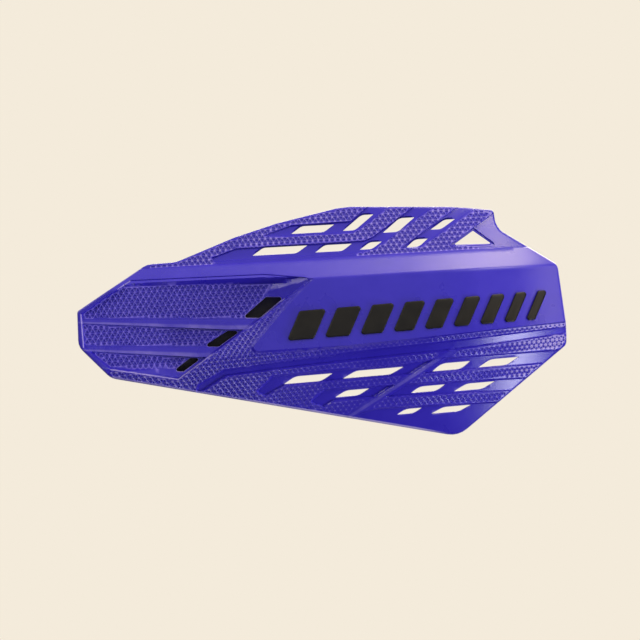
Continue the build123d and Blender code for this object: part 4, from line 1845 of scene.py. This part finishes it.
@dataclass(frozen=True)
class HexScrew:
    """Hexagon screw with a chamfered head, a washer face and a rolled thread, pointing ahead."""

    thread: float
    flats: float
    head: float
    length: float
    pitch: float
    threaded: float
    washer: float = 0.4
    face_share: float = 0.96
    disc_share: float = 0.6
    pole_share: float = 0.03
    chamfer: float = radians(30.0)
    clearance: float = 0.05
    point: float = 0.7
    groove_share: float = 0.54
    rows_a_turn: int = 6
    columns: int = 48
    sharp: float = 26.0

    def hex_radius(self, angles: Array) -> Array:
        """Distance from the axis to the flats: half their width over the cosine of the turn from one."""
        return self.flats / 2 / np.cos((angles + pi / 6) % (pi / 3) - pi / 6)

    def rings(self, angles: Array) -> tuple[Array, Array]:
        """Rings of the screw, from the middle of the head's top to the point.

        The head's top is a disc that falls at the chamfer's angle from the chamfer
        circle to the corners. The thread's radius is a triangle wave of the height
        less the angle's share of a pitch, which makes one helix.

        Args:
            angles: Angles of the points round the axis.

        Returns:
            The radius of each point, and its distance ahead of the head's underside.
        """
        ones = np.ones(len(angles))
        hexagon, circle = self.hex_radius(angles), self.flats / 2 * self.face_share * ones
        radius, plain = self.thread / 2 - self.clearance, self.length - self.threaded
        turns = np.arange(0, self.threaded - self.point, self.pitch / self.rows_a_turn)
        wave = np.abs(((turns[:, None] / self.pitch - angles / (2 * pi)) % 1.0) - 0.5) * 2
        fade = np.minimum(turns / self.pitch, 1.0)[:, None]
        cut = radius - self.groove_share * self.pitch * fade * wave
        fall = (hexagon - circle) * tan(self.chamfer)
        pairs = [
            (self.pole_share * circle, -self.head * ones),
            (self.disc_share * circle, -self.head * ones),
            (circle, -self.head * ones),
            (hexagon, fall - self.head),
            (hexagon, -self.washer * ones),
            (circle, -self.washer * ones),
            (circle, 0 * ones),
            (radius * ones, 0 * ones),
            (radius * ones, plain * ones),
            (cut, (plain + turns)[:, None] * ones),
            ((radius - self.point) * ones, self.length * ones),
            (self.pole_share * ones, self.length * ones),
        ]
        return np.vstack([pair[0] for pair in pairs]), np.vstack([pair[1] for pair in pairs])

    def build(self, name: str, place: Sequence[float], material: bpy.types.Material) -> bpy.types.Object:
        """Builds a screw from rings round its axis.

        Args:
            name: Node that the screw stands for.
            place: Centre of the underside of its head.
            material: What it is made of.

        Returns:
            The dressed screw.
        """
        angles = np.arange(self.columns) * 2 * pi / self.columns
        radii, ahead = self.rings(angles)
        x, y, z = place
        points = np.stack([x + radii * np.cos(angles), y - ahead, z + radii * np.sin(angles)], 2)
        faces = [ring_faces(len(radii), self.columns), *end_faces(len(radii), self.columns)]
        piece = write_mesh(f"turned_{name}", points.reshape(-1, 3), faces, self.sharp)
        return settle(piece, material, "zinc_steel", name)


@dataclass
class Fixings:
    """Screws of the clamp and of the shield."""

    clamp_screw: HexScrew = HexScrew(
        thread=6.0, flats=10.0, head=4.0, length=21.5, pitch=1.0, threaded=12.0
    )
    shield_screw: HexScrew = HexScrew(
        thread=5.0, flats=8.0, head=3.5, length=10.9, pitch=0.8, threaded=7.0
    )
    ear_face: float = 10.0
    ear_z: float = 18.05
    foot_back: float = -62.0
    boss_places: Corners = Shield.boss_places

    def build_all(self, material: bpy.types.Material) -> None:
        """Builds both sets of screws.

        Args:
            material: What they are made of.
        """
        for name, z in (("upper", self.ear_z), ("lower", -self.ear_z)):
            self.clamp_screw.build(f"clamp_screw_{name}", (0.0, self.ear_face, z), material)
        for number, (x, z) in enumerate(self.boss_places, start=1):
            self.shield_screw.build(f"shield_screw_{number}", (x, self.foot_back, z), material)


# Bracket


@dataclass
class Bracket:
    """Arm and clamp cap with softened edges, and sleeve, nuts and inserts in the shapes they are given."""

    edge_width: float = 0.45
    edge_angle: float = radians(35.0)
    edge_segments: int = 2
    merge_gap: float = 1e-6
    flat_angle: float = radians(1.0)
    moulded: Sequence[str] = ("arm", "clamp_cap")
    sleeve: str = "bar_sleeve"
    nuts: Sequence[str] = ("clamp_nut_upper", "clamp_nut_lower")
    inserts: Sequence[str] = ("shield_insert_1", "shield_insert_2", "shield_insert_3")

    def soften(self, name: str, material: bpy.types.Material) -> bpy.types.Object:
        """Copies a node and rounds its edges, as a mould does.

        Args:
            name: Node to copy.
            material: What it is made of.

        Returns:
            The dressed copy.
        """
        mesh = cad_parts[name].data.copy()
        shell = bmesh.new()
        shell.from_mesh(mesh)
        bmesh.ops.remove_doubles(shell, verts=shell.verts, dist=self.merge_gap)
        bmesh.ops.dissolve_limit(shell, angle_limit=self.flat_angle, verts=shell.verts, edges=shell.edges)
        shell.to_mesh(mesh)
        shell.free()
        mesh.shade_smooth()
        piece = bpy.data.objects.new(f"softened_{name}", mesh)
        bpy.context.scene.collection.objects.link(piece)
        bevel = piece.modifiers.new("mould_edge", "BEVEL")
        bevel.width = self.edge_width * MM
        bevel.segments = self.edge_segments
        bevel.limit_method = "ANGLE"
        bevel.angle_limit = self.edge_angle
        bevel.harden_normals = True
        return settle(piece, material, "bracket_black", name)

    def build_all(self, zinc: bpy.types.Material) -> None:
        """Softens the moulded pieces and dresses the rest.

        Args:
            zinc: What the nuts are made of.
        """
        black = BracketPlastic().material()
        for name in self.moulded:
            self.soften(name, black)
        rubber = SleeveRubber().material()
        brass = FixingMetal(Plating.BRASS).material()
        dressed = {self.sleeve: rubber}
        dressed |= dict.fromkeys(self.nuts, zinc)
        dressed |= dict.fromkeys(self.inserts, brass)
        for name, material in dressed.items():
            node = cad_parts[name]
            node.data.materials.clear()
            node.data.materials.append(material)
            log.info("%s: dressed in %s", name, material.name)


# Studio


class Tint(Enum):
    """Colours of the lamps."""

    WARM = linear(255, 243, 228)
    AMBER = linear(255, 234, 210)
    COOL = linear(250, 248, 255)


@dataclass(frozen=True)
class Lamp:
    """Soft lamp: its place and the width and depth of its face in metres, its power in watts, its tint."""

    name: str
    place: Sequence[float]
    size: Sequence[float]
    power: float
    tint: Tint

    def hang(self, target: Vector) -> None:
        """Adds the lamp, unseen by the camera.

        Args:
            target: Place that it points at, in metres.
        """
        data = bpy.data.lights.new(self.name, "AREA")
        data.shape = "RECTANGLE"
        data.size, data.size_y = self.size
        data.energy = self.power
        data.color = self.tint.value
        lamp = bpy.data.objects.new(self.name, data)
        lamp.visible_camera = False
        lamp.location = self.place
        lamp.rotation_euler = (target - lamp.location).to_track_quat("-Z", "Y").to_euler()
        bpy.context.scene.collection.objects.link(lamp)


@dataclass
class Studio:
    """Pale floor, soft lamps and a camera square to the front of the guard."""

    view_x: float = 63.25
    view_z: float = -9.35
    view_width: float = 352.0
    view_plane: float = -62.0
    distance: float = 8000.0
    sensor: float = 36.0
    clip: float = 60.0
    floor_z: float = -1000.0
    floor_radius: float = 1000.0
    floor_hole: float = 0.02
    floor_rows: int = 12
    floor_columns: int = 64
    floor_sharp: float = 30.0
    backdrop: Colour = linear(244, 235, 219)
    dusk: Colour = linear(92, 88, 86)
    dusk_span: Span = (-0.1, 0.4)
    ambient_strength: float = 0.58
    lamps: Sequence[Lamp] = (
        Lamp("ceiling", (0.2, -0.5, 1.7), (2.6, 2.6), 7.0, Tint.WARM),
        Lamp("strip", (0.68, 0.17, 1.45), (0.5, 0.5), 9.0, Tint.AMBER),
        Lamp("middle", (0.3, 0.08, 1.5), (0.4, 0.4), 3.6, Tint.AMBER),
        Lamp("front", (0.3, -2.2, 0.25), (2.0, 1.0), 3.1, Tint.COOL),
        Lamp("high_left", (-1.4, -1.3, 0.85), (0.9, 0.8), 11.5, Tint.WARM),
        Lamp("high_right", (1.5, -1.3, 0.85), (0.9, 0.8), 8.0, Tint.WARM),
        Lamp("top_right", (1.1, -0.7, 1.15), (0.4, 0.4), 7.5, Tint.AMBER),
        Lamp("right", (1.65, -0.5, 0.1), (0.5, 0.8), 4.5, Tint.AMBER),
        Lamp("low_right", (1.3, -0.5, -0.95), (0.4, 0.4), 13.0, Tint.COOL),
        Lamp("low_front", (-0.3, -2.2, -0.75), (1.2, 0.4), 5.0, Tint.COOL),
        Lamp("back", (0.4, 1.6, 0.9), (1.4, 0.8), 20.0, Tint.WARM),
    )

    def camera(self) -> None:
        """Places a long lens so that the view is as wide as asked at the plane of the shield."""
        data = bpy.data.cameras.new("front_camera")
        data.sensor_width = self.sensor
        data.lens = self.sensor * self.distance / self.view_width
        data.clip_end = self.clip
        camera = bpy.data.objects.new("front_camera", data)
        camera.location = Vector((self.view_x, self.view_plane - self.distance, self.view_z)) * MM
        camera.rotation_euler = (pi / 2, 0.0, 0.0)
        bpy.context.scene.collection.objects.link(camera)
        bpy.context.scene.camera = camera

    def floor(self) -> None:
        """Lays a round floor of rings about the origin, whose edge fades out."""
        rows, columns = self.floor_rows, self.floor_columns
        angles = np.arange(columns) * 2 * pi / columns
        radii = np.linspace(self.floor_hole, 1.0, rows)[:, None] * self.floor_radius
        level = np.full((rows, columns), self.floor_z)
        points = np.stack([radii * np.cos(angles), radii * np.sin(angles), level], 2)
        faces = [ring_faces(rows, columns)[:, ::-1], np.arange(columns)[None]]
        floor = write_mesh("floor", points.reshape(-1, 3), faces, self.floor_sharp)
        floor.data.materials.append(FloorPaper().material())

    def world(self) -> None:
        """Shows the camera a cream backdrop, and lights the guard with cream above and dusk below."""
        world = bpy.data.worlds.new("studio")
        bpy.context.scene.world = world
        recipe = Recipe(world)
        direction = recipe.node("ShaderNodeTexCoord", {}, {}, "Generated")
        height = recipe.node("ShaderNodeSeparateXYZ", {}, {0: direction}, "Z")
        soft = recipe.blend(height.ramp(*self.dusk_span), self.dusk, self.backdrop)
        soft = recipe.node("ShaderNodeBackground", {}, {"Color": soft, "Strength": self.ambient_strength})
        seen = recipe.node("ShaderNodeBackground", {}, {"Color": self.backdrop})
        camera = recipe.node("ShaderNodeLightPath", {}, {}, "Is Camera Ray")
        mixed = recipe.node("ShaderNodeMixShader", {}, {0: camera, 1: soft, 2: seen})
        recipe.feed(recipe.tree.nodes["World Output"].inputs["Surface"], mixed)

    def build(self) -> None:
        """Sets up the whole studio."""
        self.camera()
        self.floor()
        self.world()
        target = Vector((self.view_x * MM, self.view_plane * MM, 0.0))
        for lamp in self.lamps:
            lamp.hang(target)
        bpy.context.scene.view_settings.view_transform = "Standard"
        log.info("studio: camera, floor, backdrop and %d lamps", len(self.lamps))


def main() -> None:
    """Builds the guard piece by piece, then the studio."""
    logging.basicConfig(level=logging.INFO, format="%(message)s")
    shield = Shield()
    shield.build()
    InlayBars(shield).build_all()
    zinc = FixingMetal(Plating.ZINC).material()
    Fixings().build_all(zinc)
    Bracket().build_all(zinc)
    Studio().build()
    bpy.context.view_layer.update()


if __name__ == "__main__":
    main()
